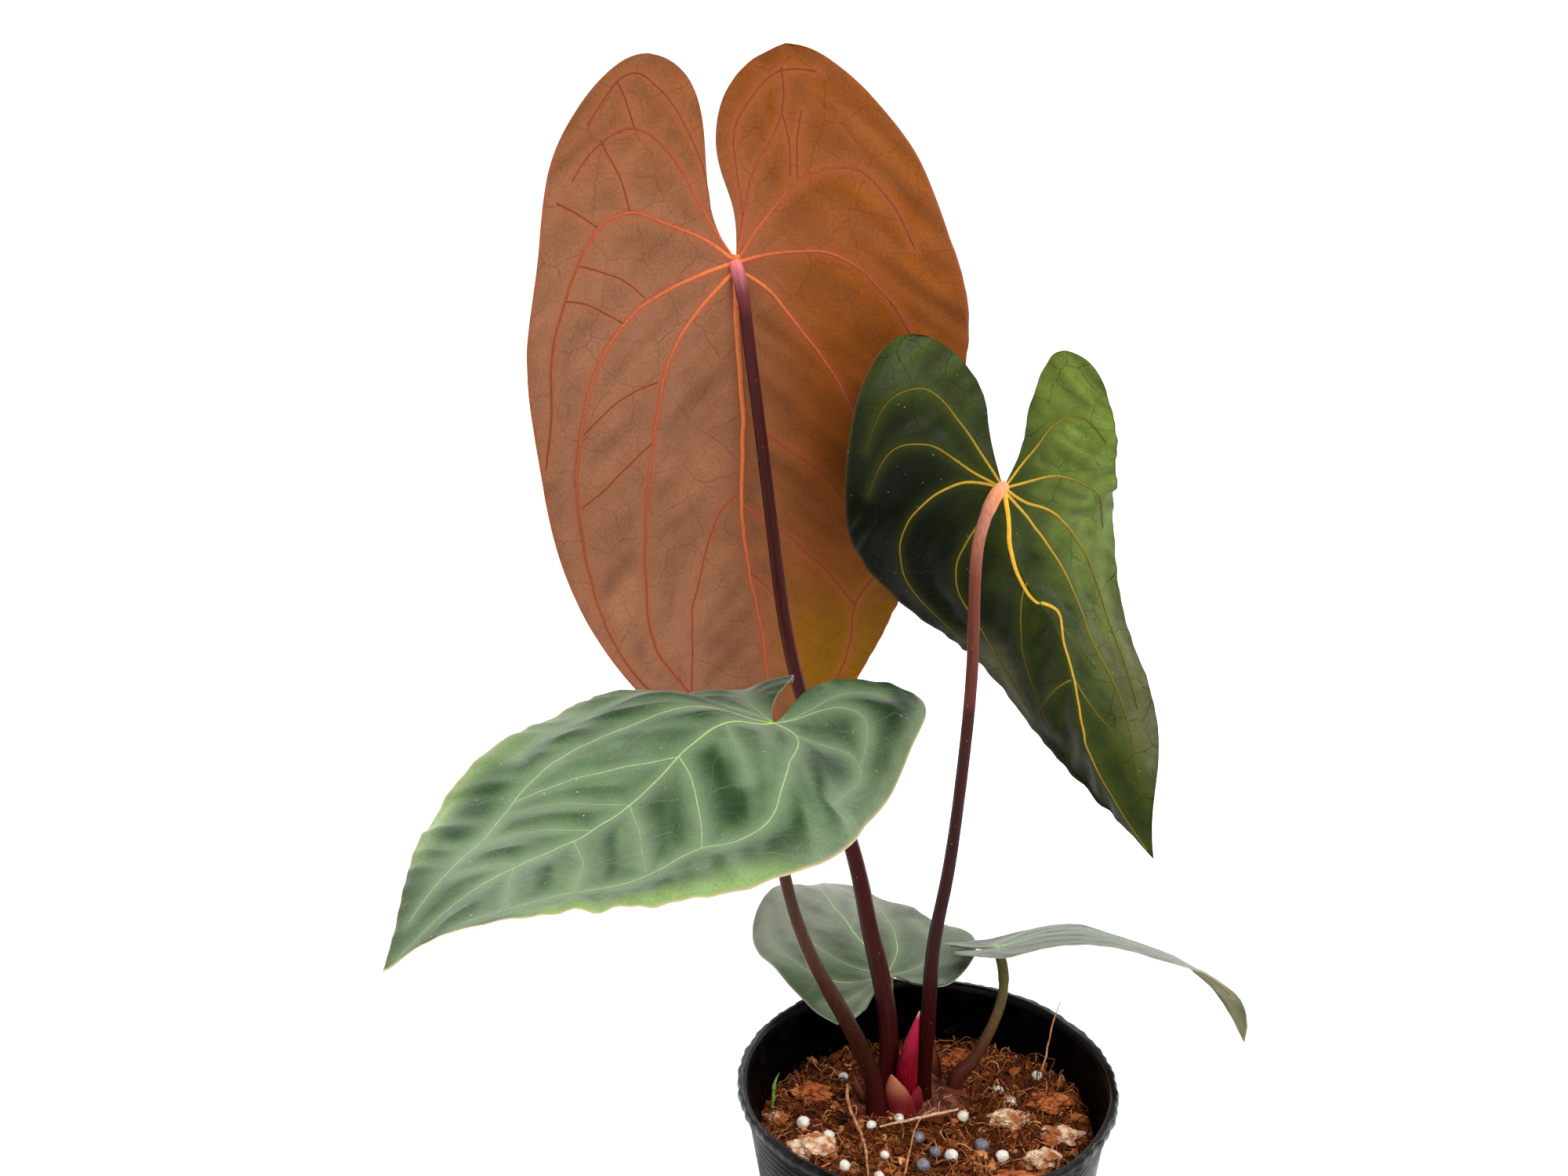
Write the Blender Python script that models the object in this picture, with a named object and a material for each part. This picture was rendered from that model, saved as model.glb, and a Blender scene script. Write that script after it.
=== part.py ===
"""A potted anthurium: a soft nursery pot with a coir mix, and a young plant with five leaves.

Design sizes are in millimetres and become metres when a mesh is made. +Z is up, -Y is the front,
and the origin is the centre of the pot's flat base.
"""
from math import cos, pi, radians, sin

import bmesh
import bpy
import numpy as np
from mathutils import Matrix, Vector, noise
from mathutils.bvhtree import BVHTree

MM = 0.001
GAP = 0.35  # clearance that touching pieces keep

# Pot
POT_HEIGHT = 90.0
POT_BASE_R = 37.5
POT_TOP_R = 50.8
POT_WALL = 1.0
POT_FLOOR = 1.2
LIP_R = 52.5
LIP_HEIGHT = 3.2
FOOT_CHAMFER = 1.5
DRAIN_COUNT = 8
DRAIN_RING_R = 26.0
DRAIN_R = 4.0
POT_SIDES = 60

# Growing medium and rootstock
MEDIUM_LEVEL = 70.0
MEDIUM_SIDES = 44
MEDIUM_RINGS = 9
CROWN = (-3.0, 16.0)
CROWN_RADII = (18.0, 11.0)
CROWN_TOP = 73.6
ROOTSTOCK_DEPTH = 26.0
ROOTSTOCK_SIDES = 20

# Leaves
BLADE_THICKNESS = 0.7
FRAME_REACH = 14.0  # the crosswise direction is averaged over this much midrib to each side
LEAF_ROWS = 22
LOBE_ROWS = 6  # of them, behind the joint
LEAF_COLUMNS = 5
PETIOLE_SIDES = 8
PETIOLE_RINGS = 16

# Each leaf: the midrib runs from behind the lobes to the tip, with the joint of the petiole at
# the numbered point; "facing" turns the upper face from the lobes, past the joint, to the tip;
# "fold" and "cup" are degrees at the midrib, and degrees more per 50 mm outwards, spread evenly
# from the lobes to the tip, for the left and the right half. The sinus and the margin are flat
# half outlines (along, across) measured from the joint.
LEAVES = {
    "tall_leaf": {
        "midrib": [(-55, 62, 360), (-52, 54, 334), (-52, 47, 306), (-51, 52, 257), (-50, 62, 209),
                   (-45, 70, 164), (-41, 70, 134)],
        "joint": 2,
        "facing": [(-0.05, 1, 0.25), (-0.05, 1, 0.25), (-0.05, 1, 0.15)],
        "fold": [(-2, 0), (-2, 0)],
        "cup": [(-11, 11), (-11, 13)],
        "left": ([(-11, -6), (-28, -8), (-45, -9), (-54, -14), (-57, -20)],
                 [(-56, -26), (-45, -39), (-23, -49), (1, -52), (21, -56), (46, -56), (77, -53),
                  (102, -46), (126, -35), (150, -19), (166, -6)]),
        "right": ([(-14, -1), (-28, -5), (-45, -1), (-53, 9), (-55, 16)],
                 [(-52, 24), (-39, 38), (-26, 49), (-2, 60), (22, 64), (48, 61), (84, 53),
                  (117, 40), (144, 22), (166, 8)]),
        "length": 175,
        "petiole": [(-9, 16, 75), (-10, 20, 97), (-15, 27, 121), (-20, 34, 142), (-35, 43, 187),
                    (-42, 45, 228), (-47, 43, 268), (-50, 42, 289), (-52, 44, 302)],
        "petiole_radii": (2.7, 1.6),
    },
    "dark_leaf": {
        "midrib": [(15, 40, 285), (15, 33, 268), (18, 27, 250), (23, 28, 228), (34, 30, 210),
                   (42, 30, 183), (52, 28, 162), (62, 22, 147)],
        "joint": 2,
        "facing": [(-0.1, 1, 0.3), (-0.1, 1, 0.3), (0.15, 1, 0.25)],
        "fold": [(-10, 17), (-6, 26), (9, 33), (25, 43), (31, 57), (42, 40), (41, 24), (37, 8)],
        "cup": [(8, -2), (8, -5)],
        "left": ([(-14, -1), (-26, -2), (-36, -11), (-39, -18)],
                 [(-39, -24), (-32, -32), (-17, -38), (0, -42), (19, -42), (39, -37), (60, -28),
                  (84, -17), (105, -5)]),
        "right": ([(-8, 7), (-16, 11), (-30, 16), (-38, 20)],
                 [(-39, 24), (-35, 33), (-20, 40), (-1, 40), (20, 41), (42, 37), (66, 28),
                  (89, 19), (107, 6)]),
        "length": 117,
        "petiole": [(0, 14, 76), (1, 11, 100), (2, 11, 124), (5, 12, 143), (8, 12, 172), (10, 12, 208),
                    (10, 13, 233), (12, 17, 243), (17, 24, 249)],
        "petiole_radii": (2.3, 1.7),
    },
    "spreading_leaf": {
        "midrib": [(-22, 22, 201), (-32, 6, 200), (-42, -8, 198), (-53, -22, 204),
                   (-74, -45, 194), (-92, -66, 191), (-108, -86, 190), (-121, -98, 181)],
        "joint": 2,
        "facing": [(0.25, -0.35, 1), (0.15, -0.3, 1), (0, -0.2, 1)],
        "fold": [(12, -38), (10, -21), (2, -6), (1, -8), (7, 12), (6, -1), (13, -8), (26, 2)],
        "cup": [(-20, -34), (-12, -18), (-10, -34), (-7, -23), (3, -34), (0, -20), (-9, -1), (-2, 4)],
        "left": ([(-7, 1), (-22, 1), (-33, -8), (-37, -14)],
                 [(-38, -21), (-30, -27), (-11, -33), (12, -43), (31, -48), (54, -47), (72, -38),
                  (86, -30), (103, -18), (117, -5)]),
        "right": ([(-8, 6), (-18, 9), (-27, 12), (-32, 16)],
                 [(-31, 21), (-26, 28), (-13, 34), (10, 43), (35, 44), (54, 41), (73, 38),
                  (89, 30), (102, 21), (115, 10)]),
        "length": 127,
        "petiole": [(-13, 9, 76), (-21, 6, 101), (-31, 2, 123), (-39, -2, 151), (-42, -6, 180),
                    (-42, -8, 194)],
        "petiole_radii": (2.5, 1.5),
    },
    "low_leaf": {
        "midrib": [(-9, 18, 105), (-9, 35, 100), (-17, 52, 103), (-24, 68, 105), (-29, 82, 104),
                   (-33, 96, 96), (-35, 106, 86)],
        "joint": 1,
        "facing": [(0, -0.5, 1), (0, -0.5, 1), (-0.3, 0.3, 1)],
        "fold": [(-34, 8), (0, 10), (12, -9), (5, -16), (12, -22), (24, -10), (13, -8)],
        "cup": [(-6, -15), (-6, -8)],
        "left": ([(-6, -4), (-14, -7), (-22, -10)],
                 [(-24, -13), (-16, -19), (-5, -25), (9, -29), (24, -30), (37, -27), (52, -16), (65, -4)]),
        "right": ([(-5, 4), (-11, 6), (-14, 9)],
                 [(-16, 14), (-13, 19), (-5, 25), (7, 30), (24, 27), (39, 23), (52, 16), (65, 7)]),
        "length": 76,
        "petiole": [(-10, 23, 75), (-9, 27, 83), (-9, 31, 91), (-9, 34, 96)],
        "petiole_radii": (2.2, 1.5),
    },
    "side_leaf": {
        "midrib": [(12, 28, 113), (22, 29, 113), (34, 30, 116), (47, 30, 117), (63, 30, 113),
                   (79, 30, 106), (90, 30, 96), (96, 30, 81)],
        "joint": 1,
        "facing": [(0, 0.38, 1), (0, 0.38, 1), (0.3, 0.32, 1)],
        "fold": [(0, 0), (0, 0)],
        "cup": [(-10, -10), (-10, -10)],
        "left": ([(-5, -2), (-9, -3), (-13, -6)],
                 [(-14, -9), (-10, -13), (0, -16), (16, -18), (32, -18), (48, -16), (64, -11),
                  (80, -5)]),
        "right": ([(-5, 2), (-9, 3), (-13, 6)],
                  [(-14, 9), (-10, 13), (0, 16), (16, 18), (32, 18), (48, 16), (64, 11),
                   (80, 5)]),
        "length": 91,
        "petiole": [(11, 20, 76), (14, 21, 78), (20, 24, 88), (24, 27, 100), (23, 29, 109)],
        "petiole_radii": (1.9, 1.3),
    },
}

# Loose pieces on the medium, each at its place in plan
WHITE_GRANULES = [(-34, 1, 1.9), (-27, -3, 1.6), (-15, 0, 1.5), (-7, 4, 1.5), (6, -14, 2.0),
                  (-12, -13, 1.4), (-23, -17, 1.7), (-14, -21, 1.5), (11, 5, 1.7), (22, 14, 1.6),
                  (25, 9, 1.5), (34, 21, 1.6), (20, -13, 1.9), (-22, 26, 1.5)]
GREY_GRANULES = [(-2, -4, 1.8), (2, -10, 1.7), (-2, -18, 2.0), (15, -8, 2.1)]
PUMICE = [(-31, -9, (11, 8, 5)), (24, 1, (9, 6, 5)), (37, -5, (8, 6, 4)), (31, -15, (7, 5, 4)),
          (-41, 6, (5, 4, 3)), (13, -29, (6, 5, 4))]
HUSK = [(23, -23, (9, 5, 3)), (-4, -29, (11, 6, 3)), (36, 9, (10, 6, 3)), (-36, -20, (9, 6, 3)),
        (-31, 17, (10, 5, 3)), (14, 33, (11, 6, 3))]


def principled(name, colour, roughness, metallic=0.0):
    material = bpy.data.materials.new(name)
    material.use_nodes = True
    shader = material.node_tree.nodes["Principled BSDF"]
    shader.inputs["Base Color"].default_value = (*colour, 1.0)
    shader.inputs["Roughness"].default_value = roughness
    shader.inputs["Metallic"].default_value = metallic
    material.diffuse_color = (*colour, 1.0)
    return material


def make_object(name, points, faces, material):
    """An object from points in millimetres, with round shading."""
    mesh = bpy.data.meshes.new(name)
    mesh.from_pydata([tuple(float(c) * MM for c in p) for p in points], [], faces)
    mesh.materials.append(material)
    mesh.shade_smooth()
    mesh.set_sharp_from_angle(angle=radians(40))
    made = bpy.data.objects.new(name, mesh)
    bpy.context.scene.collection.objects.link(made)
    return made


def as_helper(helper):
    helper.hide_render = True
    helper.display_type = "WIRE"
    return helper


def add_boolean(target, operand, operation):
    boolean = target.modifiers.new(operation.lower() + "_" + operand.name, "BOOLEAN")
    boolean.operation = operation
    boolean.solver = "EXACT"
    boolean.object = operand


def face_outwards(made):
    mesh = bmesh.new()
    mesh.from_mesh(made.data)
    bmesh.ops.recalc_face_normals(mesh, faces=mesh.faces)
    mesh.to_mesh(made.data)
    mesh.free()


def spline(knots, values):
    """A natural cubic spline through values at the knots; it returns a function of the knots' unit."""
    knots = np.asarray(knots, float)
    values = np.asarray(values, float)
    count = len(knots)
    step = np.diff(knots)
    matrix = np.zeros((count, count))
    right = np.zeros_like(values)
    matrix[0, 0] = matrix[-1, -1] = 1
    for i in range(1, count - 1):
        matrix[i, i - 1:i + 2] = step[i - 1], 2 * (step[i - 1] + step[i]), step[i]
        right[i] = 6 * ((values[i + 1] - values[i]) / step[i] - (values[i] - values[i - 1]) / step[i - 1])
    bend = np.linalg.solve(matrix, right)

    def at(q):
        q = np.asarray(q, float)
        i = np.clip(np.searchsorted(knots, q, side="right") - 1, 0, count - 2)
        shape = (...,) + (None,) * (values.ndim - 1)
        a = (knots[i + 1] - q)[shape]
        b = (q - knots[i])[shape]
        h = step[i][shape]
        cubic = (bend[i] * a ** 3 + bend[i + 1] * b ** 3) / (6 * h)
        return cubic + (values[i] / h - bend[i] * h / 6) * a + (values[i + 1] / h - bend[i + 1] * h / 6) * b

    return at


def lengths_along(points):
    steps = np.linalg.norm(np.diff(points, axis=0), axis=1)
    return np.concatenate([[0], np.cumsum(steps)])


def smooth_curve(points, count):
    """count points, evenly spaced, along a smooth curve through the design points."""
    points = np.asarray(points, float)
    chords = np.linalg.norm(np.diff(points, axis=0), axis=1)
    knots = np.concatenate([[0], np.cumsum(np.sqrt(chords))])
    fine = spline(knots, points)(np.linspace(0, knots[-1], 40 * len(points)))
    along = lengths_along(fine)
    places = np.linspace(0, along[-1], count)
    return np.stack([np.interp(places, along, column) for column in fine.T], -1)


def unit(vectors):
    return vectors / np.linalg.norm(vectors, axis=-1, keepdims=True)


def half_grid(sinus, margin, length, rows, columns):
    """Flat points (row, column) of half a blade: rows run from lobe to tip, columns outwards."""
    folded = smooth_curve([(0, 0)] + list(sinus), LOBE_ROWS + 1)[::-1]
    ribs = rows - LOBE_ROWS
    midrib = np.stack([np.linspace(0, length, ribs)[1:], np.zeros(ribs - 1)], -1)
    inner = np.concatenate([folded, midrib])
    places = lengths_along(inner)
    outer = smooth_curve([sinus[-1]] + list(margin) + [(length, 0)], 600)
    share = np.linspace(0, 1, 600)
    outer = np.stack([np.interp(places / places[-1], share, column) for column in outer.T], -1)
    across = np.linspace(0, 1, columns)[None, :, None]
    return inner[:, None] * (1 - across) + outer[:, None] * across


def leaf_surface(leaf):
    """A function that bends flat leaf points (along, across) into place, with their upward normals."""
    midrib = np.asarray(leaf["midrib"], float)
    rough = lengths_along(midrib)
    fine_at = np.linspace(0, rough[-1], 400)
    fine = spline(rough, midrib)(fine_at)
    knots = np.interp(rough, fine_at, lengths_along(fine))
    knots -= knots[leaf["joint"]]
    first, last = knots[0], knots[-1]
    rib = spline(knots, midrib)
    facing = spline([first, 0, last], unit(np.asarray(leaf["facing"], float)))
    fold = np.radians(leaf["fold"])
    cup = np.radians(leaf["cup"]) / 50

    def even(values, s):
        places = np.linspace(first, last, len(values))
        if len(values) < 3:
            return np.stack([np.interp(s, places, column) for column in values.T], -1)
        return spline(places, values)(s)

    def tangent(s, reach):
        return unit(rib(np.minimum(s + reach, last)) - rib(np.maximum(s - reach, first)))

    def place(flat):
        s, u = flat[..., 0], flat[..., 1]
        held = np.clip(s, first, last)
        ahead = tangent(held, 1.0)
        centre = rib(held) + ahead * (s - held)[..., None]
        sideways = unit(np.cross(tangent(held, FRAME_REACH), facing(held)))
        up = np.cross(sideways, tangent(held, FRAME_REACH))
        side = (u > 0).astype(int)[..., None]
        bend = np.take_along_axis(even(fold, held), side, -1)[..., 0]
        more = np.take_along_axis(even(cup, held), side, -1)[..., 0]
        reach = np.abs(u)
        steps = (np.arange(8) + 0.5) / 8
        angles = bend[..., None] + more[..., None] * reach[..., None] * steps
        out = np.cos(angles).mean(-1) * reach * np.sign(u)
        rise = np.sin(angles).mean(-1) * reach
        return centre + sideways * out[..., None] + up * rise[..., None]

    return place


def add_blade(name, leaf, rows, material):
    """A thin closed heart-shaped blade: the upper face, thickened downwards."""
    place = leaf_surface(leaf)
    mesh = bmesh.new()
    for side in ("left", "right"):
        sinus, margin = leaf[side]
        grid = place(half_grid(sinus, margin, leaf["length"], rows, LEAF_COLUMNS)) * MM
        corners = [[mesh.verts.new(p) for p in row] for row in grid]
        for near, far in zip(corners, corners[1:]):
            for i in range(LEAF_COLUMNS - 1):
                quad = (near[i], far[i], far[i + 1], near[i + 1])
                mesh.faces.new(quad if side == "left" else quad[::-1])
    bmesh.ops.remove_doubles(mesh, verts=mesh.verts, dist=0.01 * MM)
    bmesh.ops.triangulate(mesh, faces=mesh.faces)
    sheet = bpy.data.meshes.new(name)
    mesh.to_mesh(sheet)
    mesh.free()
    sheet.materials.append(material)
    sheet.shade_smooth()
    blade = bpy.data.objects.new(name, sheet)
    bpy.context.scene.collection.objects.link(blade)
    thicken = blade.modifiers.new("thickness", "SOLIDIFY")
    thicken.thickness = BLADE_THICKNESS * MM
    thicken.offset = -1
    return blade


def tube_mesh(path, radii, sides, flat=1.0):
    """Points and faces of a closed round bar along path; radii follow the path; flat squeezes it."""
    path = np.asarray(path, float)
    ahead = unit(np.gradient(path, axis=0))
    across = unit(np.cross(ahead, (0.31, 0.9, 0.17)))
    over = np.cross(ahead, across)
    points = []
    for centre, a, b, radius in zip(path, across, over, radii):
        for i in range(sides):
            turn = 2 * pi * i / sides
            points.append(centre + radius * (cos(turn) * a + flat * sin(turn) * b))
    start = len(points)
    points.append(path[0] - ahead[0] * radii[0] * 0.4)
    points.append(path[-1] + ahead[-1] * radii[-1] * 0.4)
    faces = []
    for ring in range(len(path) - 1):
        for i in range(sides):
            j = (i + 1) % sides
            low, high = ring * sides, (ring + 1) * sides
            faces.append((low + i, low + j, high + j, high + i))
    last = (len(path) - 1) * sides
    for i in range(sides):
        j = (i + 1) % sides
        faces.append((start, j, i))
        faces.append((start + 1, last + i, last + j))
    return points, faces


def add_bar(name, route, radii, material, rings=PETIOLE_RINGS, sides=PETIOLE_SIDES, flat=1.0):
    path = smooth_curve(route, rings)
    share = np.linspace(0, 1, len(radii))
    along = np.interp(np.linspace(0, 1, rings), share, radii)
    bar = make_object(name, *tube_mesh(path, along, sides, flat), material)
    face_outwards(bar)
    return bar


def add_pot(material):
    """A turned thin shell with a rolled lip, and drain holes cut through its flat floor."""
    slope = (POT_TOP_R - POT_BASE_R) / POT_HEIGHT
    lip_low = POT_HEIGHT - LIP_HEIGHT

    def outer(z):
        return POT_BASE_R + slope * z

    profile = [(0, 0), (20, 0), (POT_BASE_R - FOOT_CHAMFER, 0), (outer(FOOT_CHAMFER), FOOT_CHAMFER)]
    profile += [(outer(z), z) for z in (30, 60, lip_low - 6)]
    profile += [(outer(lip_low - 4) + 0.6, lip_low - 4), (outer(lip_low), lip_low)]
    profile += [(LIP_R, lip_low + 0.4), (LIP_R, POT_HEIGHT - 0.8), (LIP_R - 0.8, POT_HEIGHT)]
    profile += [(outer(POT_HEIGHT) - POT_WALL, POT_HEIGHT)]
    profile += [(outer(z) - POT_WALL, z) for z in (lip_low - 6, 60, 30)]
    profile += [(outer(POT_FLOOR) - POT_WALL, POT_FLOOR), (20, POT_FLOOR), (0, POT_FLOOR)]
    mesh = bmesh.new()
    corners = [mesh.verts.new((r * MM, 0, z * MM)) for r, z in profile]
    edges = [mesh.edges.new(pair) for pair in zip(corners, corners[1:])]
    bmesh.ops.spin(mesh, geom=corners + edges, cent=(0, 0, 0), axis=(0, 0, 1), angle=2 * pi,
                   steps=POT_SIDES, use_merge=True)
    bmesh.ops.remove_doubles(mesh, verts=mesh.verts, dist=0.01 * MM)
    bmesh.ops.recalc_face_normals(mesh, faces=mesh.faces)
    shell = bpy.data.meshes.new("nursery_pot")
    mesh.to_mesh(shell)
    mesh.free()
    shell.materials.append(material)
    shell.shade_smooth()
    shell.set_sharp_from_angle(angle=radians(35))
    pot = bpy.data.objects.new("nursery_pot", shell)
    bpy.context.scene.collection.objects.link(pot)

    drills = bmesh.new()
    for i in range(DRAIN_COUNT):
        turn = 2 * pi * i / DRAIN_COUNT
        spot = Vector((DRAIN_RING_R * cos(turn), DRAIN_RING_R * sin(turn), POT_FLOOR / 2)) * MM
        bmesh.ops.create_cone(drills, cap_ends=True, segments=12, radius1=DRAIN_R * MM,
                              radius2=DRAIN_R * MM, depth=3 * POT_FLOOR * MM,
                              matrix=Matrix.Translation(spot))
    drill_mesh = bpy.data.meshes.new("drain_hole_cutter")
    drills.to_mesh(drill_mesh)
    drills.free()
    cutter = as_helper(bpy.data.objects.new("drain_hole_cutter", drill_mesh))
    bpy.context.scene.collection.objects.link(cutter)
    add_boolean(pot, cutter, "DIFFERENCE")
    return pot


def medium_height(x, y):
    """The uneven top of the mix: a low mound at the right and back, and a hollow round the crown."""
    mound = 3.0 * np.exp(-((x - 32) ** 2 + (y - 16) ** 2) / 500)
    crown = ((x - CROWN[0]) / (CROWN_RADII[0] + 6)) ** 2 + ((y - CROWN[1]) / (CROWN_RADII[1] + 6)) ** 2
    lumps = 2.2 * noise.noise(Vector((x / 9, y / 9, 0.3))) + 0.9 * noise.noise(Vector((x / 4, y / 4, 7.1)))
    settled = MEDIUM_LEVEL + 1.2 + mound + lumps
    return min(settled, 71.5) if crown < 1 else settled


def add_medium(material):
    """The coir mix fills the pot from its floor to some way below the lip."""
    slope = (POT_TOP_R - POT_BASE_R) / POT_HEIGHT
    inside = POT_WALL + GAP + 0.25
    low = POT_FLOOR + GAP
    side_levels = (low, 24, 46, 64)
    points = [(0, 0, low)]
    faces = []
    for z in side_levels:
        radius = POT_BASE_R + slope * z - inside
        points += [(radius * cos(2 * pi * i / MEDIUM_SIDES), radius * sin(2 * pi * i / MEDIUM_SIDES), z)
                   for i in range(MEDIUM_SIDES)]
    for ring in range(MEDIUM_RINGS):
        radius = (POT_BASE_R + slope * MEDIUM_LEVEL - inside) * (1 - ring / MEDIUM_RINGS)
        for i in range(MEDIUM_SIDES):
            x = radius * cos(2 * pi * i / MEDIUM_SIDES)
            y = radius * sin(2 * pi * i / MEDIUM_SIDES)
            height = medium_height(x, y) if ring else MEDIUM_LEVEL - 1
            points.append((x, y, height))
    centre = len(points)
    points.append((0, 0, medium_height(0, 0)))
    rings = len(side_levels) + MEDIUM_RINGS
    for i in range(MEDIUM_SIDES):
        j = (i + 1) % MEDIUM_SIDES
        faces.append((0, 1 + j, 1 + i))
        for ring in range(rings - 1):
            a, b = 1 + ring * MEDIUM_SIDES, 1 + (ring + 1) * MEDIUM_SIDES
            faces.append((a + i, a + j, b + j, b + i))
        top = 1 + (rings - 1) * MEDIUM_SIDES
        faces.append((top + i, top + j, centre))
    return make_object("growing_medium", points, faces, material)


def rootstock_shape(name, extra, material):
    """The short thick stem base with its main roots, all grown as one; extra swells it evenly."""
    points = []
    faces = []
    sides = ROOTSTOCK_SIDES
    levels = ((0.0, 0.45), (0.12, 0.7), (0.45, 0.92), (0.8, 1.0), (0.93, 0.93), (1.0, 0.72))
    for share, width in levels:
        z = CROWN_TOP - ROOTSTOCK_DEPTH * (1 - share)
        z += {0.0: -extra, 1.0: extra}.get(share, 0)
        for i in range(sides):
            turn = 2 * pi * i / sides
            lump = 1 + 0.06 * sin(3 * turn + 2 * share) + 0.04 * sin(5 * turn - share)
            points.append((CROWN[0] + (CROWN_RADII[0] * width * lump + extra) * cos(turn),
                           CROWN[1] + (CROWN_RADII[1] * width * lump + extra) * sin(turn), z))
    for ring in range(len(levels) - 1):
        for i in range(sides):
            j = (i + 1) % sides
            a, b = ring * sides, (ring + 1) * sides
            faces.append((a + i, a + j, b + j, b + i))
    faces.append(tuple(range(sides))[::-1])
    faces.append(tuple(range((len(levels) - 1) * sides, len(levels) * sides)))
    body = make_object(name, points, faces, material)
    routes = (
        [(-12, 14, 60), (-24, 6, 48), (-30, -4, 30), (-24, -16, 14)],
        [(4, 12, 58), (16, 2, 46), (22, -12, 30), (14, -24, 12)],
        [(6, 20, 60), (20, 26, 44), (24, 22, 26), (18, 12, 9)],
        [(-10, 22, 58), (-18, 30, 40), (-14, 24, 24), (-8, 10, 10)],
    )
    for number, route in enumerate(routes, 1):
        radii = [2.4 + extra, 1.8 + extra, 1.2 + extra]
        root = as_helper(add_bar(f"{name}_root_{number}", route, radii, material, rings=9, sides=7))
        add_boolean(body, root, "UNION")
    return body


def add_scale(name, base, tip, outward, width, thickness, material):
    """A papery scale leaf: a pointed strip, curved across, standing from base to tip."""
    base = np.asarray(base, float)
    tip = np.asarray(tip, float)
    outward = np.asarray(outward, float)
    up = unit(tip - base)
    outward = unit(outward - up * (outward @ up))
    across = np.cross(up, outward)
    rows, columns = 8, 7
    top, bottom = [], []
    for r in range(rows):
        share = r / (rows - 1)
        half = width / 2 * (1 - share ** 2.2) + 0.35
        centre = base + (tip - base) * share + outward * 1.5 * sin(pi * share)
        for c in range(columns):
            angle = radians(62) * (2 * c / (columns - 1) - 1)
            side = half * sin(angle) / sin(radians(62))
            drop = half * 0.75 * (1 - cos(angle))
            spot = centre + across * side - outward * drop
            top.append(spot + outward * thickness / 2)
            bottom.append(spot - outward * thickness / 2)
    count = rows * columns
    faces = []
    for r in range(rows - 1):
        for c in range(columns - 1):
            a = r * columns + c
            b, d, e = a + 1, a + columns, a + columns + 1
            faces.append((a, b, e, d))
            faces.append((count + a, count + d, count + e, count + b))
    rim = [c for c in range(columns)]
    rim += [r * columns + columns - 1 for r in range(1, rows)]
    rim += [(rows - 1) * columns + c for c in range(columns - 2, -1, -1)]
    rim += [r * columns for r in range(rows - 2, 0, -1)]
    for a, b in zip(rim, rim[1:] + rim[:1]):
        faces.append((b, a, count + a, count + b))
    scale = make_object(name, top + bottom, faces, material)
    face_outwards(scale)
    return scale


def lump_mesh(size, roughness, seed):
    """A rough rounded lump: a ball of triangles pushed in and out, then scaled to size."""
    mesh = bmesh.new()
    bmesh.ops.create_icosphere(mesh, subdivisions=2, radius=1.0)
    points = []
    for vertex in mesh.verts:
        push = 1 + roughness * noise.noise(vertex.co * 1.7 + Vector((seed * 3.1, seed * 1.7, 0)))
        points.append([c * push * s / 2 for c, s in zip(vertex.co, size)])
    faces = [tuple(v.index for v in face.verts) for face in mesh.faces]
    mesh.free()
    return np.array(points), faces


def settle(points, faces, spot, ground):
    """Moves a small piece to spot in plan, and down until it rests just clear of the ground."""
    moved = points + np.array([spot[0], spot[1], 0])
    own = BVHTree.FromPolygons([Vector(p) for p in moved], faces)
    sky = 400.0
    lift = -sky
    for x, y, z in moved:
        for surface, _ in ground:
            hit = surface.ray_cast(Vector((x, y, sky)), Vector((0, 0, -1)))[0]
            if hit:
                lift = max(lift, hit.z - z)
    for _, others in ground:
        for x, y, z in others:
            if abs(x - spot[0]) < 12 and abs(y - spot[1]) < 12:
                hit = own.ray_cast(Vector((x, y, -sky)), Vector((0, 0, 1)))[0]
                if hit:
                    lift = max(lift, z - hit.z)
    moved[:, 2] += lift + GAP
    return moved


def add_loose(name, shape, spot, ground, material):
    points, faces = shape
    placed = settle(points, faces, spot, ground)
    loose = make_object(name, placed, faces, material)
    face_outwards(loose)
    ground.append((BVHTree.FromPolygons([Vector(p) for p in placed], faces), placed))


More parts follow.
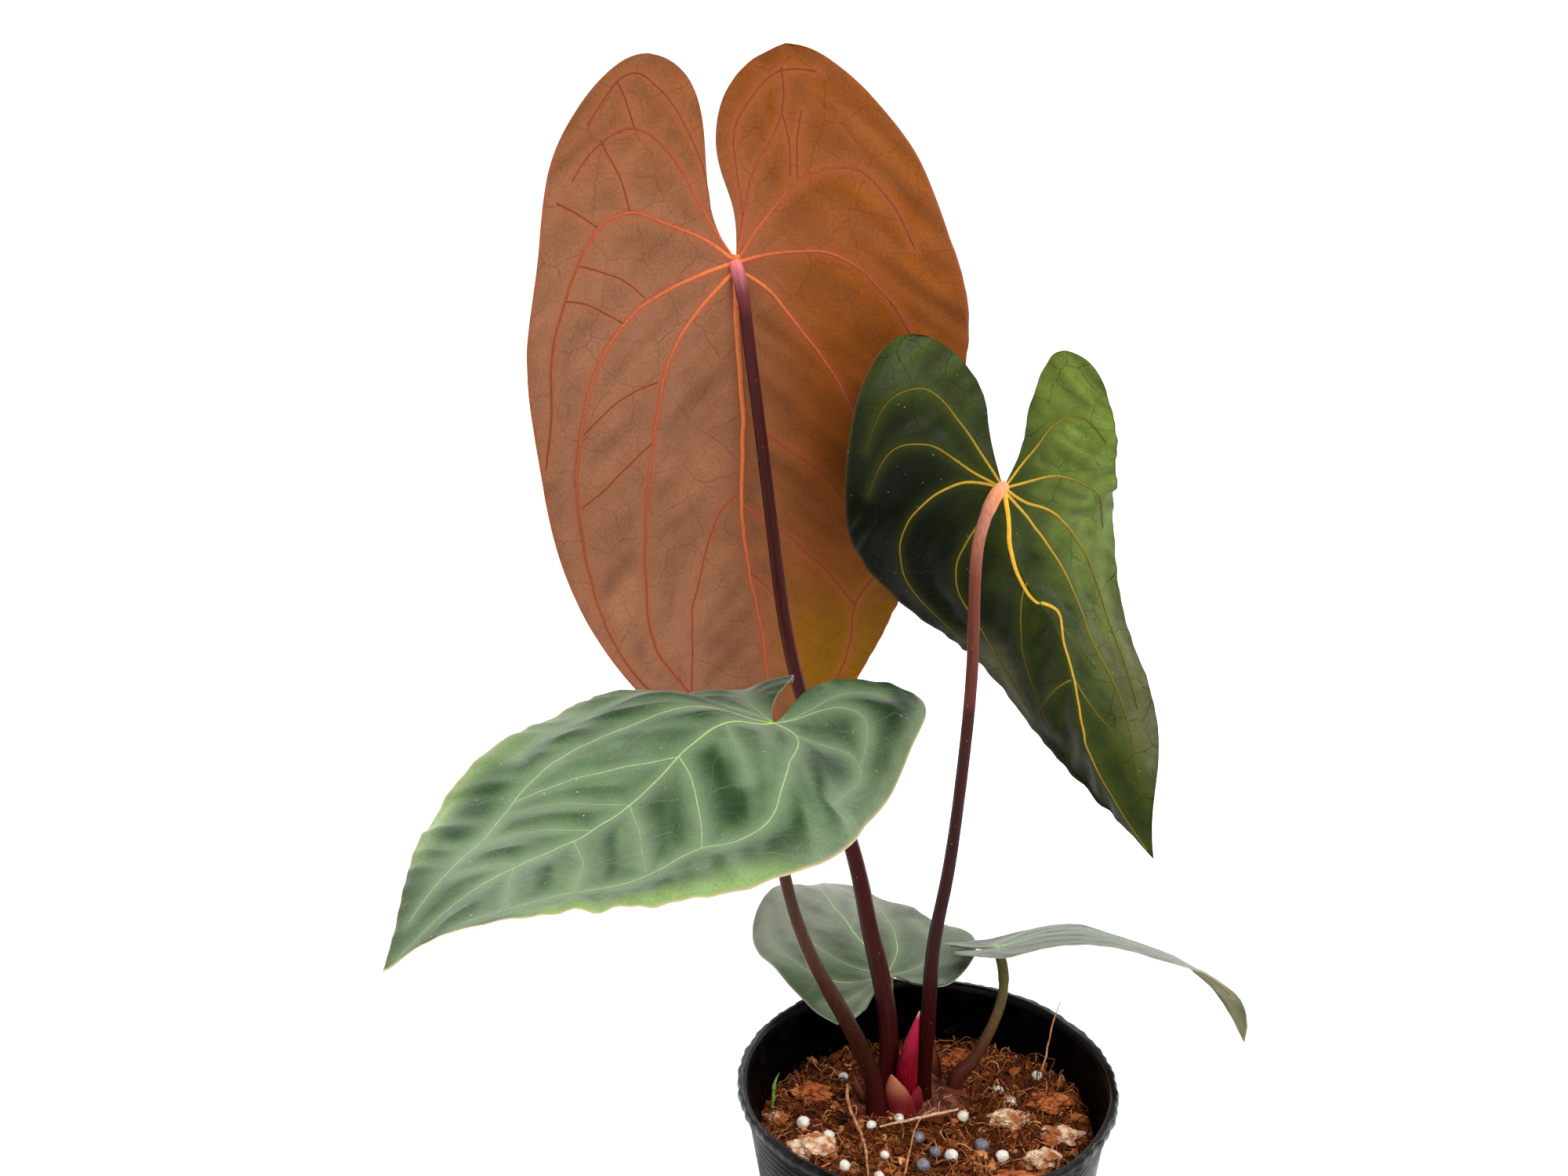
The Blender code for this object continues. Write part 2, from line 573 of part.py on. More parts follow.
def main():
    for old in list(bpy.data.objects):
        bpy.data.objects.remove(old, do_unlink=True)

    pot_plastic = principled("pot_plastic", (0.012, 0.012, 0.013), 0.35)
    coir = principled("coir_mix", (0.22, 0.1, 0.045), 0.95)
    root_skin = principled("root_skin", (0.25, 0.1, 0.06), 0.7)
    copper_leaf = principled("copper_leaf", (0.45, 0.2, 0.09), 0.5)
    green_leaf = principled("green_leaf", (0.06, 0.12, 0.04), 0.45)
    maroon_stem = principled("maroon_stem", (0.12, 0.03, 0.035), 0.4)
    olive_stem = principled("olive_stem", (0.16, 0.1, 0.05), 0.45)
    crimson_leaf = principled("crimson_leaf", (0.5, 0.04, 0.12), 0.4)
    papery_scale = principled("papery_scale", (0.6, 0.3, 0.17), 0.6)
    white_coat = principled("white_coat", (0.75, 0.73, 0.68), 0.5)
    grey_coat = principled("grey_coat", (0.2, 0.2, 0.23), 0.5)
    pumice = principled("pumice", (0.55, 0.36, 0.25), 0.95)
    husk = principled("husk", (0.35, 0.14, 0.06), 0.9)
    bark = principled("bark", (0.1, 0.07, 0.06), 0.85)
    fibre = principled("fibre", (0.45, 0.2, 0.09), 0.8)
    seedling = principled("seedling_green", (0.12, 0.3, 0.05), 0.5)

    add_pot(pot_plastic)
    medium = add_medium(coir)
    rootstock_shape("rootstock", 0.0, root_skin)
    socket = as_helper(rootstock_shape("rootstock_socket", GAP, root_skin))
    add_boolean(medium, socket, "DIFFERENCE")

    blades = {"tall_leaf": copper_leaf}
    stems = {"spreading_leaf": olive_stem, "side_leaf": olive_stem}
    for name, leaf in LEAVES.items():
        rows = LEAF_ROWS + 4 if leaf["length"] > 120 else LEAF_ROWS
        add_blade(name + "_blade", leaf, rows, blades.get(name, green_leaf))
        thick, thin = leaf["petiole_radii"]
        add_bar(name + "_petiole", leaf["petiole"], [thick, thick * 0.8, thin, thin],
                stems.get(name, maroon_stem))

    add_bar("leaf_spear", [(-5, 8.5, 77), (-5, 9.5, 86), (-3, 10.5, 96), (-1.5, 11, 103.5)],
            [1.6, 2.2, 1.5, 0.25], crimson_leaf, rings=9, flat=0.75)
    add_scale("spear_sheath", (-8, 4.5, 75), (-8.5, 5.5, 85), (-0.4, -1, 0.1), 6, 0.8, papery_scale)
    add_scale("right_crown_scale", (-1.5, 5, 75), (0.5, 5.5, 84), (0.5, -1, 0.1), 5, 0.8, papery_scale)
    add_scale("left_crown_scale", (-17.5, 12, 75), (-18.5, 12, 82), (-1, -0.3, 0.1), 6, 0.8, papery_scale)
    add_scale("back_crown_scale", (3, 25, 75), (4, 26, 83), (0.3, 1, 0.1), 7, 0.8, papery_scale)

    corners = [np.array(v.co) / MM for v in medium.data.vertices]
    polygons = [tuple(p.vertices) for p in medium.data.polygons]
    stock = [np.array(v.co) / MM for v in bpy.data.objects["rootstock"].data.vertices]
    stock_faces = [tuple(p.vertices) for p in bpy.data.objects["rootstock"].data.polygons]
    ground = [(BVHTree.FromPolygons([Vector(p) for p in corners], polygons), corners),
              (BVHTree.FromPolygons([Vector(p) for p in stock], stock_faces), stock)]
    for number, (x, y, size) in enumerate(HUSK, 1):
        add_loose(f"husk_chip_{number}", lump_mesh(size, 0.5, number), (x, y), ground, husk)
    for number, (x, y, size) in enumerate(PUMICE, 1):
        add_loose(f"pumice_{number}", lump_mesh(size, 0.45, 10 + number), (x, y), ground, pumice)
    add_loose("bark_chip", lump_mesh((9, 5, 2.5), 0.4, 31), (4, -26), ground, bark)
    for number, (x, y, radius) in enumerate(WHITE_GRANULES, 1):
        ball = lump_mesh((2 * radius,) * 3, 0.05, number)
        add_loose(f"white_granule_{number:02d}", ball, (x, y), ground, white_coat)
    for number, (x, y, radius) in enumerate(GREY_GRANULES, 1):
        ball = lump_mesh((2 * radius,) * 3, 0.05, 20 + number)
        add_loose(f"grey_granule_{number}", ball, (x, y), ground, grey_coat)
    add_bar("long_fibre_left", [(-22, 14, 79), (-21, 2, 81), (-18, -10, 82), (-17, -24, 79)],
            [0.35, 0.45, 0.35], fibre, rings=10, sides=6)
    add_bar("long_fibre_right", [(36, 22, 80), (38, 26, 87), (41, 29, 95)],
            [0.4, 0.35, 0.25], fibre, rings=8, sides=6)
    add_bar("twig", [(-10, -5, 82), (-3, -7, 82), (4, -6, 82.5)], [0.6, 0.7, 0.5], husk, rings=6, sides=6)
    add_bar("seedling", [(-43, 9, 74), (-42.5, 8.5, 78), (-41, 9, 82)], [0.5, 0.7, 0.3], seedling,
            rings=6, sides=6)


main()
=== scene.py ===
from math import cos, pi, radians, sin
from random import Random

import bmesh
import bpy
import numpy as np
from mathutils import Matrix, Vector, noise


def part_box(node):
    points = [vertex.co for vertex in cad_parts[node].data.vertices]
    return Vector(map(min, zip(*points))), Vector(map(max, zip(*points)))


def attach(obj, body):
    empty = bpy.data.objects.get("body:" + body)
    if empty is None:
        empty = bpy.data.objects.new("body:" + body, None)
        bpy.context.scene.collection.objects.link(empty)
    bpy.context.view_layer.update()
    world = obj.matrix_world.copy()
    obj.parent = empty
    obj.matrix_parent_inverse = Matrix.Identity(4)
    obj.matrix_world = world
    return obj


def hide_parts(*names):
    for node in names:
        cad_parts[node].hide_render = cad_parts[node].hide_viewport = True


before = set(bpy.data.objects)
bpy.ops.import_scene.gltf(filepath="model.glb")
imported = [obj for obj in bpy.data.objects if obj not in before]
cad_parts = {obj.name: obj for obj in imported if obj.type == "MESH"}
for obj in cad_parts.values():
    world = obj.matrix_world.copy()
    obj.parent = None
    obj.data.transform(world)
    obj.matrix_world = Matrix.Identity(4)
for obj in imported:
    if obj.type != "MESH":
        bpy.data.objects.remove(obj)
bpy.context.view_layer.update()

# ---------------------------------------------------------------------------------------------
# The studio: a large pale matt floor, an even white room that is dimmer in front of the plant,
# one big soft lamp over its back, and the camera looking a little down at it.
MM = 0.001
FLOOR_REACH = 4.0
FLOOR_DROP = 0.0004
CAMERA_PLACE = (-0.0394, -0.415, 0.3677)
CAMERA_TILT = 71.8
CAMERA_LENS = 40.0
ROOM_FRONT = 0.72
ROOM_BACK = 1.15
ROOM_HORIZON = 1.25


def node(tree, kind, inputs=None, **settings):
    """Adds a shader node; an input given as a socket is linked, any other is its value."""
    made = tree.nodes.new(kind)
    for key, value in settings.items():
        setattr(made, key, value)
    for key, value in (inputs or {}).items():
        if isinstance(value, bpy.types.NodeSocket):
            tree.links.new(value, made.inputs[key])
        else:
            made.inputs[key].default_value = value
    return made


def spread(tree, value, low, high, to_low=0.0, to_high=1.0):
    """A number that goes smoothly from to_low to to_high as value goes from low to high."""
    ranged = node(tree, "ShaderNodeMapRange", {0: value, 1: low, 2: high, 3: to_low, 4: to_high},
                  interpolation_type="SMOOTHSTEP")
    return ranged.outputs[0]


def combine(tree, operation, first, second=0.0):
    return node(tree, "ShaderNodeMath", {0: first, 1: second}, operation=operation).outputs[0]


world = bpy.data.worlds.new("studio_room")
bpy.context.scene.world = world
world.use_nodes = True
room = world.node_tree
direction = node(room, "ShaderNodeSeparateXYZ",
                 {0: node(room, "ShaderNodeTexCoord").outputs["Generated"]}).outputs
depth = spread(room, direction["Y"], -0.45, 0.55, ROOM_FRONT, ROOM_BACK)
height = combine(room, "ABSOLUTE", direction["Z"])
horizon = spread(room, height, 0.1, 0.3, ROOM_HORIZON, 0.0)
lit = combine(room, "MAXIMUM", depth, horizon)
room.links.new(lit, room.nodes["Background"].inputs["Strength"])
room.nodes["Background"].inputs["Color"].default_value = (1.0, 1.0, 1.0, 1.0)

floor_mesh = bpy.data.meshes.new("floor")
floor_corners = [(-FLOOR_REACH, -FLOOR_REACH), (FLOOR_REACH, -FLOOR_REACH),
                 (FLOOR_REACH, FLOOR_REACH), (-FLOOR_REACH, FLOOR_REACH)]
floor_mesh.from_pydata([(x, y, -FLOOR_DROP) for x, y in floor_corners], [], [(0, 1, 2, 3)])
floor = bpy.data.objects.new("floor", floor_mesh)
bpy.context.scene.collection.objects.link(floor)
floor_paint = bpy.data.materials.new("floor_paint")
floor_paint.use_nodes = True
tree = floor_paint.node_tree
paint = tree.nodes["Principled BSDF"]
dust = node(tree, "ShaderNodeTexNoise", {"Scale": 3.0}).outputs["Fac"]
shade = node(tree, "ShaderNodeMix", {0: dust, 6: (0.9, 0.9, 0.9, 1), 7: (0.93, 0.93, 0.93, 1)},
             data_type="RGBA")
tree.links.new(shade.outputs[2], paint.inputs["Base Color"])
paint.inputs["Roughness"].default_value = 0.9
paint.inputs["Emission Color"].default_value = (1.0, 1.0, 1.0, 1.0)
paint.inputs["Emission Strength"].default_value = 0.35
floor_mesh.materials.append(floor_paint)


def add_lamp(name, place, target, width, height, power):
    lamp = bpy.data.lights.new(name, "AREA")
    lamp.shape = "RECTANGLE"
    lamp.size = width
    lamp.size_y = height
    lamp.energy = power
    stand = bpy.data.objects.new(name, lamp)
    stand.location = place
    stand.rotation_euler = (Vector(target) - Vector(place)).to_track_quat("-Z", "Y").to_euler()
    bpy.context.scene.collection.objects.link(stand)


add_lamp("back_lamp", (-0.25, 0.95, 1.15), (0.0, 0.0, 0.2), 1.1, 0.8, 11.0)
add_lamp("side_lamp", (1.1, 0.5, 0.7), (0.0, 0.0, 0.15), 0.25, 0.8, 4.0)
add_lamp("front_lamp", (0.22, -0.5, 0.75), (0.0, 0.0, 0.12), 0.28, 0.28, 4.5)

bpy.context.scene.view_settings.view_transform = "Standard"
bpy.context.scene.view_settings.look = "None"
camera_data = bpy.data.cameras.new("camera")
camera_data.lens = CAMERA_LENS
camera_data.clip_start = 0.01
camera = bpy.data.objects.new("camera", camera_data)
camera.location = CAMERA_PLACE
camera.rotation_euler = (radians(CAMERA_TILT), 0.0, 0.0)
bpy.context.scene.collection.objects.link(camera)
bpy.context.scene.camera = camera

# ---------------------------------------------------------------------------------------------
# The nursery pot: thin soft black polyethylene, blown and trimmed. Its wall has fine moulded
# rings below a rolled, crimped lip, shallow pleats lower down, and a flat floor with drain holes.
POT_LOW, POT_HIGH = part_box("nursery_pot")
POT_HEIGHT = POT_HIGH.z / MM
LIP_R = (POT_HIGH.x - POT_LOW.x) / 2 / MM
POT_BASE_R = 37.5
POT_TOP_R = LIP_R - 1.7
POT_WALL = 0.9
POT_FLOOR = 1.2
FOOT_CHAMFER = 1.5
LIP_LOW = 86.9
POT_SIDES = 216
RING_PITCH = 2.1
RING_DEPTH = 0.16
PLEATS = 34
DRAIN_COUNT = 8
DRAIN_RING_R = 26.0
DRAIN_R = 4.0
EARTH_HIGH, EARTH_LOW = 85.0, 66.0


def unit(vectors):
    return vectors / np.linalg.norm(vectors, axis=-1, keepdims=True)


def fade(value, low, high):
    share = np.clip((np.asarray(value, float) - low) / (high - low), 0, 1)
    return share * share * (3 - 2 * share)


def add_piece(name, points, faces, materials, slot, replaced=(), face_materials=None, **attributes):
    """A piece from points in millimetres, riding on the plant; it stands for the replaced nodes."""
    mesh = bpy.data.meshes.new(name)
    mesh.from_pydata((np.asarray(points, float) * MM).tolist(), [], faces)
    for material in materials:
        mesh.materials.append(material)
    if face_materials is not None:
        mesh.polygons.foreach_set("material_index", np.asarray(face_materials, np.int32))
    kinds = {1: ("FLOAT", "value"), 3: ("FLOAT_VECTOR", "vector"), 4: ("FLOAT_COLOR", "color")}
    for key, values in attributes.items():
        values = np.asarray(values, np.float32)
        kind, field = kinds[1 if values.ndim == 1 else values.shape[1]]
        mesh.attributes.new(key, kind, "POINT").data.foreach_set(field, values.ravel())
    mesh.shade_smooth()
    mesh.set_sharp_from_angle(angle=radians(50))
    piece = bpy.data.objects.new(name, mesh)
    bpy.context.scene.collection.objects.link(piece)
    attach(piece, "root")
    if replaced:
        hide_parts(*replaced)
    return piece


def start_finish(name, roughness, specular=0.5):
    """A new material and its shader, with gloss set and its colour still to come."""
    finish = bpy.data.materials.new(name)
    finish.use_nodes = True
    shader = finish.node_tree.nodes["Principled BSDF"]
    shader.inputs["Roughness"].default_value = roughness
    shader.inputs["Specular IOR Level"].default_value = specular
    return finish, finish.node_tree, shader


def grain(tree, scale, detail=4.0, vector=None):
    """Cloudy noise from 0 to 1; scale is lumps to a metre on the piece, or to the vector's unit."""
    place = vector or node(tree, "ShaderNodeTexCoord").outputs["Object"]
    clouds = node(tree, "ShaderNodeTexNoise", {"Vector": place, "Scale": scale, "Detail": detail})
    return clouds.outputs["Fac"]


def blend(tree, share, first, second, way="MIX"):
    colours = {0: share, 6: first, 7: second}
    colours = {k: (*v, 1.0) if isinstance(v, tuple) and len(v) == 3 else v for k, v in colours.items()}
    return node(tree, "ShaderNodeMix", colours, data_type="RGBA", blend_type=way).outputs[2]


def add_bump(tree, shader, height, depth_mm, strength=1.0):
    bump = node(tree, "ShaderNodeBump", {"Height": height, "Distance": depth_mm * MM, "Strength": strength})
    tree.links.new(bump.outputs[0], shader.inputs["Normal"])


def pot_wall(z, turn, inside):
    """Radius of the wall: the cone with its rings, its pleats and the dents of a handled pot."""
    cone = POT_BASE_R + (POT_TOP_R - POT_BASE_R) * z / POT_HEIGHT
    ringed = fade(z, 40, 58) * (1 - fade(z, 84.5, 86))
    rings = RING_DEPTH * ringed * np.abs(np.sin(pi * z / RING_PITCH)) ** 0.7
    pleated = fade(z, 4, 14) * (1 - fade(z, 52, 74))
    pleats = 0.35 * pleated * np.sin(PLEATS * turn + 0.6 * np.sin(3 * turn))
    dents = 0.35 * np.sin(3 * turn + 0.03 * z + 0.8) * fade(z, 10, 50) + 0.2 * np.sin(7 * turn - 0.05 * z)
    return cone - (POT_WALL if inside else 0) + rings + pleats + dents - 0.35


turns = np.linspace(0, 2 * pi, POT_SIDES, endpoint=False)
wall_levels = list(np.arange(FOOT_CHAMFER, 40, 2.2)) + list(np.arange(40, LIP_LOW - 0.2, 0.42))
crimp = 0.22 * np.sin(72 * turns + 2.2 * np.sin(5 * turns)) + 0.14 * np.sin(31 * turns)
sag = -0.55 * np.exp(-((turns - 4.5) / 0.5) ** 2) - 0.35 * np.exp(-((turns - 5.4) / 0.25) ** 2)
sag += 0.12 * np.sin(9 * turns) + 0.1 * np.sin(17 * turns + 1) - 0.25
rings = [np.stack([(POT_BASE_R - FOOT_CHAMFER) * np.cos(turns), (POT_BASE_R - FOOT_CHAMFER) * np.sin(turns),
                   0 * turns], -1)]


def pot_ring(radius, z):
    return np.stack([radius * np.cos(turns), radius * np.sin(turns), z + 0 * turns], -1)


for z in wall_levels:
    rings.append(pot_ring(pot_wall(z, turns, False), z + sag * fade(z, 60, 87)))
lip_out = LIP_R - 0.25 + crimp
lip_in = pot_wall(POT_HEIGHT, turns, True)
rolled = [(lip_out - 0.75, LIP_LOW), (lip_out - 0.15, LIP_LOW + 0.25), (lip_out, LIP_LOW + 0.9),
          (lip_out - 0.05, LIP_LOW + 1.9), (lip_out - 0.35, LIP_LOW + 2.6), (lip_out - 0.9, LIP_LOW + 2.95),
          (lip_in + 0.9, LIP_LOW + 3.0), (lip_in + 0.3, LIP_LOW + 2.75), (lip_in, LIP_LOW + 2.2)]
rings += [pot_ring(radius, z + sag) for radius, z in rolled]
for z in wall_levels[::-1]:
    low = max(z, POT_FLOOR)
    rings.append(pot_ring(pot_wall(low, turns, True), low + sag * fade(low, 60, 87)))
for radius in (33.0, 20.0, 8.0):
    rings.append(pot_ring(radius, POT_FLOOR))
pot_points = np.concatenate(rings + [[(0, 0, POT_FLOOR)], pot_ring(20.0, 0), [(0, 0, 0)]])
pot_faces = []
for ring in range(len(rings) - 1):
    for i in range(POT_SIDES):
        j = (i + 1) % POT_SIDES
        a, b = ring * POT_SIDES, (ring + 1) * POT_SIDES
        pot_faces.append((a + i, a + j, b + j, b + i))
last_ring = (len(rings) - 1) * POT_SIDES
hub = len(rings) * POT_SIDES
under = hub + 1
for i in range(POT_SIDES):
    j = (i + 1) % POT_SIDES
    pot_faces.append((last_ring + i, last_ring + j, hub))
    pot_faces.append((j, i, under + i, under + j))
    pot_faces.append((under + j, under + i, under + POT_SIDES))

pot_plastic, tree, shader = start_finish("pot_plastic", 0.3, 0.5)
scuffs = spread(tree, grain(tree, 140.0, 6.0), 0.5, 0.75)
shade = blend(tree, scuffs, (0.001, 0.001, 0.0012), (0.004, 0.0035, 0.0035))
place = node(tree, "ShaderNodeTexCoord").outputs["Object"]
level = node(tree, "ShaderNodeSeparateXYZ", {0: place}).outputs["Z"]
below_lip = spread(tree, level, EARTH_HIGH * MM, EARTH_LOW * MM)
earthy = combine(tree, "MULTIPLY", below_lip, spread(tree, grain(tree, 420.0, 5.0), 0.55, 0.7))
shade = blend(tree, combine(tree, "MULTIPLY", earthy, 0.5), shade, (0.06, 0.03, 0.015))
tree.links.new(shade, shader.inputs["Base Color"])
gloss = spread(tree, grain(tree, 90.0, 5.0), 0.3, 0.7, 0.22, 0.42)
lip_gloss = spread(tree, level, LIP_LOW * MM, LIP_LOW * MM + 0.001, 0.02, 0.22)
tree.links.new(lip_gloss, shader.inputs["Specular IOR Level"])
tree.links.new(gloss, shader.inputs["Roughness"])
add_bump(tree, shader, grain(tree, 700.0, 3.0), 0.06, 0.5)

pot = add_piece("soft_pot", pot_points, pot_faces, [pot_plastic], "pot_plastic", ["nursery_pot"])
drills = bmesh.new()
for i in range(DRAIN_COUNT):
    turn = 2 * pi * i / DRAIN_COUNT
    spot = Vector((DRAIN_RING_R * cos(turn), DRAIN_RING_R * sin(turn), 0))
    made = bmesh.ops.create_cone(drills, cap_ends=True, segments=28, radius1=DRAIN_R * MM,
                                 radius2=DRAIN_R * MM, depth=6 * MM)
    bmesh.ops.translate(drills, verts=made["verts"], vec=spot * MM)
drill_mesh = bpy.data.meshes.new("drain_drills")
drills.to_mesh(drill_mesh)
drills.free()
drill = bpy.data.objects.new("drain_drills", drill_mesh)
bpy.context.scene.collection.objects.link(drill)
cut = pot.modifiers.new("drain_holes", "BOOLEAN")
cut.operation = "DIFFERENCE"
cut.object = drill
bpy.context.view_layer.update()
cut_pot = bpy.data.meshes.new_from_object(pot.evaluated_get(bpy.context.evaluated_depsgraph_get()))
pot.modifiers.remove(cut)
pot.data = cut_pot
bpy.data.objects.remove(drill)

# ---------------------------------------------------------------------------------------------
# The growing medium: a loose mix of coir dust and husk that fills the pot to some way below the
# lip. Its top is uneven, with a low mound at the right and back, and a hollow round the crown.
MEDIUM_LEVEL = 70.0
MEDIUM_R = 46.7
MEDIUM_SIDES = 170
MEDIUM_RINGS = 64
CROWN = (-3.0, 16.0)


def medium_height(x, y):
    mound = 3.0 * np.exp(-((x - 32) ** 2 + (y - 16) ** 2) / 500)
    lumps = 2.2 * noise.noise(Vector((x / 9, y / 9, 0.3))) + 0.9 * noise.noise(Vector((x / 4, y / 4, 7.1)))
    settled = MEDIUM_LEVEL + 1.2 + mound + lumps
    near = ((x - CROWN[0]) / 24) ** 2 + ((y - CROWN[1]) / 17) ** 2
    return min(settled, 71.5) if near < 1 else settled


def crumbled(x, y):
    """Height of the top with the small hollows and crumbs of the mix."""
    spot = Vector((x, y, 1.7))
    rough = 1.7 * noise.noise(spot / 3.2) + 0.8 * noise.noise(spot / 1.3) + 0.35 * noise.noise(spot / 0.6)
    return medium_height(x, y) + rough - 0.1


medium_points = [(0, 0, 1.7)]
for level in (1.7, 30.0, 55.0):
    radius = POT_BASE_R + (POT_TOP_R - POT_BASE_R) * level / POT_HEIGHT - POT_WALL - 0.9
    for i in range(MEDIUM_SIDES):
        turn = 2 * pi * i / MEDIUM_SIDES
        medium_points.append((radius * cos(turn), radius * sin(turn), level))
for ring in range(MEDIUM_RINGS):
    radius = MEDIUM_R * (1 - ring / MEDIUM_RINGS)
    for i in range(MEDIUM_SIDES):
        x = radius * cos(2 * pi * i / MEDIUM_SIDES)
        y = radius * sin(2 * pi * i / MEDIUM_SIDES)
        medium_points.append((x, y, crumbled(x, y) - (1.2 if ring == 0 else 0)))
medium_points.append((0, 0, crumbled(0, 0)))
medium_faces = []
medium_rings = 3 + MEDIUM_RINGS
for i in range(MEDIUM_SIDES):
    j = (i + 1) % MEDIUM_SIDES
    medium_faces.append((0, 1 + j, 1 + i))
    for ring in range(medium_rings - 1):
        a, b = 1 + ring * MEDIUM_SIDES, 1 + (ring + 1) * MEDIUM_SIDES
        medium_faces.append((a + i, a + j, b + j, b + i))
    a = 1 + (medium_rings - 1) * MEDIUM_SIDES
    medium_faces.append((a + i, a + j, len(medium_points) - 1))

coir_mix, tree, shader = start_finish("coir_dust", 0.95, 0.1)
lumps = grain(tree, 420.0, 8.0)
shade = blend(tree, spread(tree, lumps, 0.35, 0.62), (0.004, 0.0007, 0.0003), (0.2, 0.045, 0.01))
shade = blend(tree, spread(tree, grain(tree, 1500.0, 3.0), 0.6, 0.72), shade, (0.42, 0.18, 0.08))
tree.links.new(shade, shader.inputs["Base Color"])
add_bump(tree, shader, grain(tree, 1400.0, 8.0), 0.6)
add_piece("coir_medium", medium_points, medium_faces, [coir_mix], "coir_mix", ["growing_medium"])


def tube(path, radii, sides, squash=1.0, start=0):
    """Points and faces of a closed round bar along a path, with faces counted from start."""
    path = np.asarray(path, float)
    radii = np.broadcast_to(np.asarray(radii, float), len(path))
    ahead = unit(np.gradient(path, axis=0))
    across = unit(np.cross(ahead, (0.31, 0.9, 0.17)))
    over = np.cross(ahead, across)
    turn = 2 * pi * np.arange(sides) / sides
    ring = np.cos(turn)[None, :, None] * across[:, None]
    ring = ring + squash * np.sin(turn)[None, :, None] * over[:, None]
    points = (path[:, None] + radii[:, None, None] * ring).reshape(-1, 3)
    ends = [path[0] - ahead[0] * radii[0] * 0.4, path[-1] + ahead[-1] * radii[-1] * 0.4]
    points = np.concatenate([points, ends])
    faces = tube_faces(len(path), sides, start)
    return points, faces


def tube_faces(rows, sides, start):
    faces = []
    for row in range(rows - 1):
        low, high = start + row * sides, start + (row + 1) * sides
        faces += [(low + i, low + (i + 1) % sides, high + (i + 1) % sides, high + i) for i in range(sides)]
    first, last = start + rows * sides, start + (rows - 1) * sides
    faces += [(first, start + (i + 1) % sides, start + i) for i in range(sides)]
    faces += [(first + 1, last + i, last + (i + 1) % sides) for i in range(sides)]
    return faces


# Coir fibres and crumbs, teased out of the husk: hair-thin, wiry, lying over and through the top.
FIBRES = 3000
FIBRE_SPREAD, FIBRE_EDGE = 45.5, 46.3
CRUMB_SPREAD = 45.6
CRUMBS = 1500
draw = Random(11)
fibre_points = []
fibre_faces = []
fibre_tints = []
count = 0
for _ in range(FIBRES):
    radius = FIBRE_SPREAD * draw.random() ** 0.5
    turn = draw.uniform(0, 2 * pi)
    x, y = radius * cos(turn), radius * sin(turn)
    heading = draw.uniform(0, 2 * pi)
    long = draw.choice((4, 6, 8, 12, 18)) * draw.uniform(0.6, 1.2)
    curl = draw.gauss(0, 1.6)
    lift = abs(draw.gauss(0, 1.3)) * (1.8 if x > 15 and y > 0 else 1.0)
    thick = draw.uniform(0.07, 0.26) * (0.7 if long > 12 else 1.0)
    path = []
    for step in range(7):
        share = step / 6
        path.append((x, y, crumbled(x, y) + 0.1 + lift * sin(pi * share) + draw.gauss(0, 0.12)))
        heading += curl / 6 + draw.gauss(0, 0.22)
        x += cos(heading) * long / 6
        y += sin(heading) * long / 6
        if x * x + y * y > FIBRE_EDGE ** 2:
            heading += pi * 0.6
            x, y = x * 0.97, y * 0.97
    points, faces = tube(path, [thick * w for w in (0.5, 0.9, 1, 1, 1, 0.8, 0.35)], 4, start=count)
    tint = draw.random() ** 1.4
    fibre_points.append(points)
    fibre_faces += faces
    fibre_tints += [tint] * len(points)
    count += len(points)
ball = bmesh.new()
bmesh.ops.create_icosphere(ball, subdivisions=1, radius=1.0)
ball_points = np.array([v.co for v in ball.verts])
ball_faces = [tuple(v.index for v in f.verts) for f in ball.faces]
ball.free()
for _ in range(CRUMBS):
    radius = CRUMB_SPREAD * draw.random() ** 0.5
    turn = draw.uniform(0, 2 * pi)
    x, y = radius * cos(turn), radius * sin(turn)
    size = draw.choice((0.35, 0.45, 0.6, 0.9, 1.5)) * draw.uniform(0.7, 1.3)
    knobs = 1 + 0.35 * np.array([draw.uniform(-1, 1) for _ in ball_points])[:, None]
    stretch = np.array([draw.uniform(0.7, 1.4), draw.uniform(0.7, 1.4), draw.uniform(0.5, 0.9)])
    points = ball_points * knobs * stretch * size + (x, y, crumbled(x, y) + 0.25 * size)
    fibre_points.append(points)
    fibre_faces += [tuple(count + i for i in f) for f in ball_faces]
    fibre_tints += [draw.random() ** 1.2] * len(points)
    count += len(points)

fibre_finish, tree, shader = start_finish("coir_fibre", 0.7, 0.1)
tint = node(tree, "ShaderNodeAttribute", attribute_name="tint").outputs["Fac"]
ramp = node(tree, "ShaderNodeValToRGB", {"Fac": tint})
ramp.color_ramp.elements[0].color = (0.018, 0.003, 0.001, 1)
ramp.color_ramp.elements[1].color = (0.85, 0.42, 0.18, 1)
ramp.color_ramp.elements.new(0.42).color = (0.2, 0.042, 0.009, 1)
ramp.color_ramp.elements.new(0.75).color = (0.52, 0.16, 0.04, 1)
shade = blend(tree, spread(tree, grain(tree, 900.0), 0.35, 0.7, 0, 0.6), ramp.outputs[0], (0.1, 0.03, 0.01))
tree.links.new(shade, shader.inputs["Base Color"])
add_bump(tree, shader, grain(tree, 3000.0, 3.0), 0.1)
add_piece("coir_fibres", np.concatenate(fibre_points), fibre_faces, [fibre_finish], "coir_mix",
          tint=fibre_tints)

# ---------------------------------------------------------------------------------------------
# Chunks in the mix: cut coconut husk with its torn fibrous faces, a flake of dark bark, and pale
# crumbly pumice stained by the coir. Each lies half sunk where it came to rest.


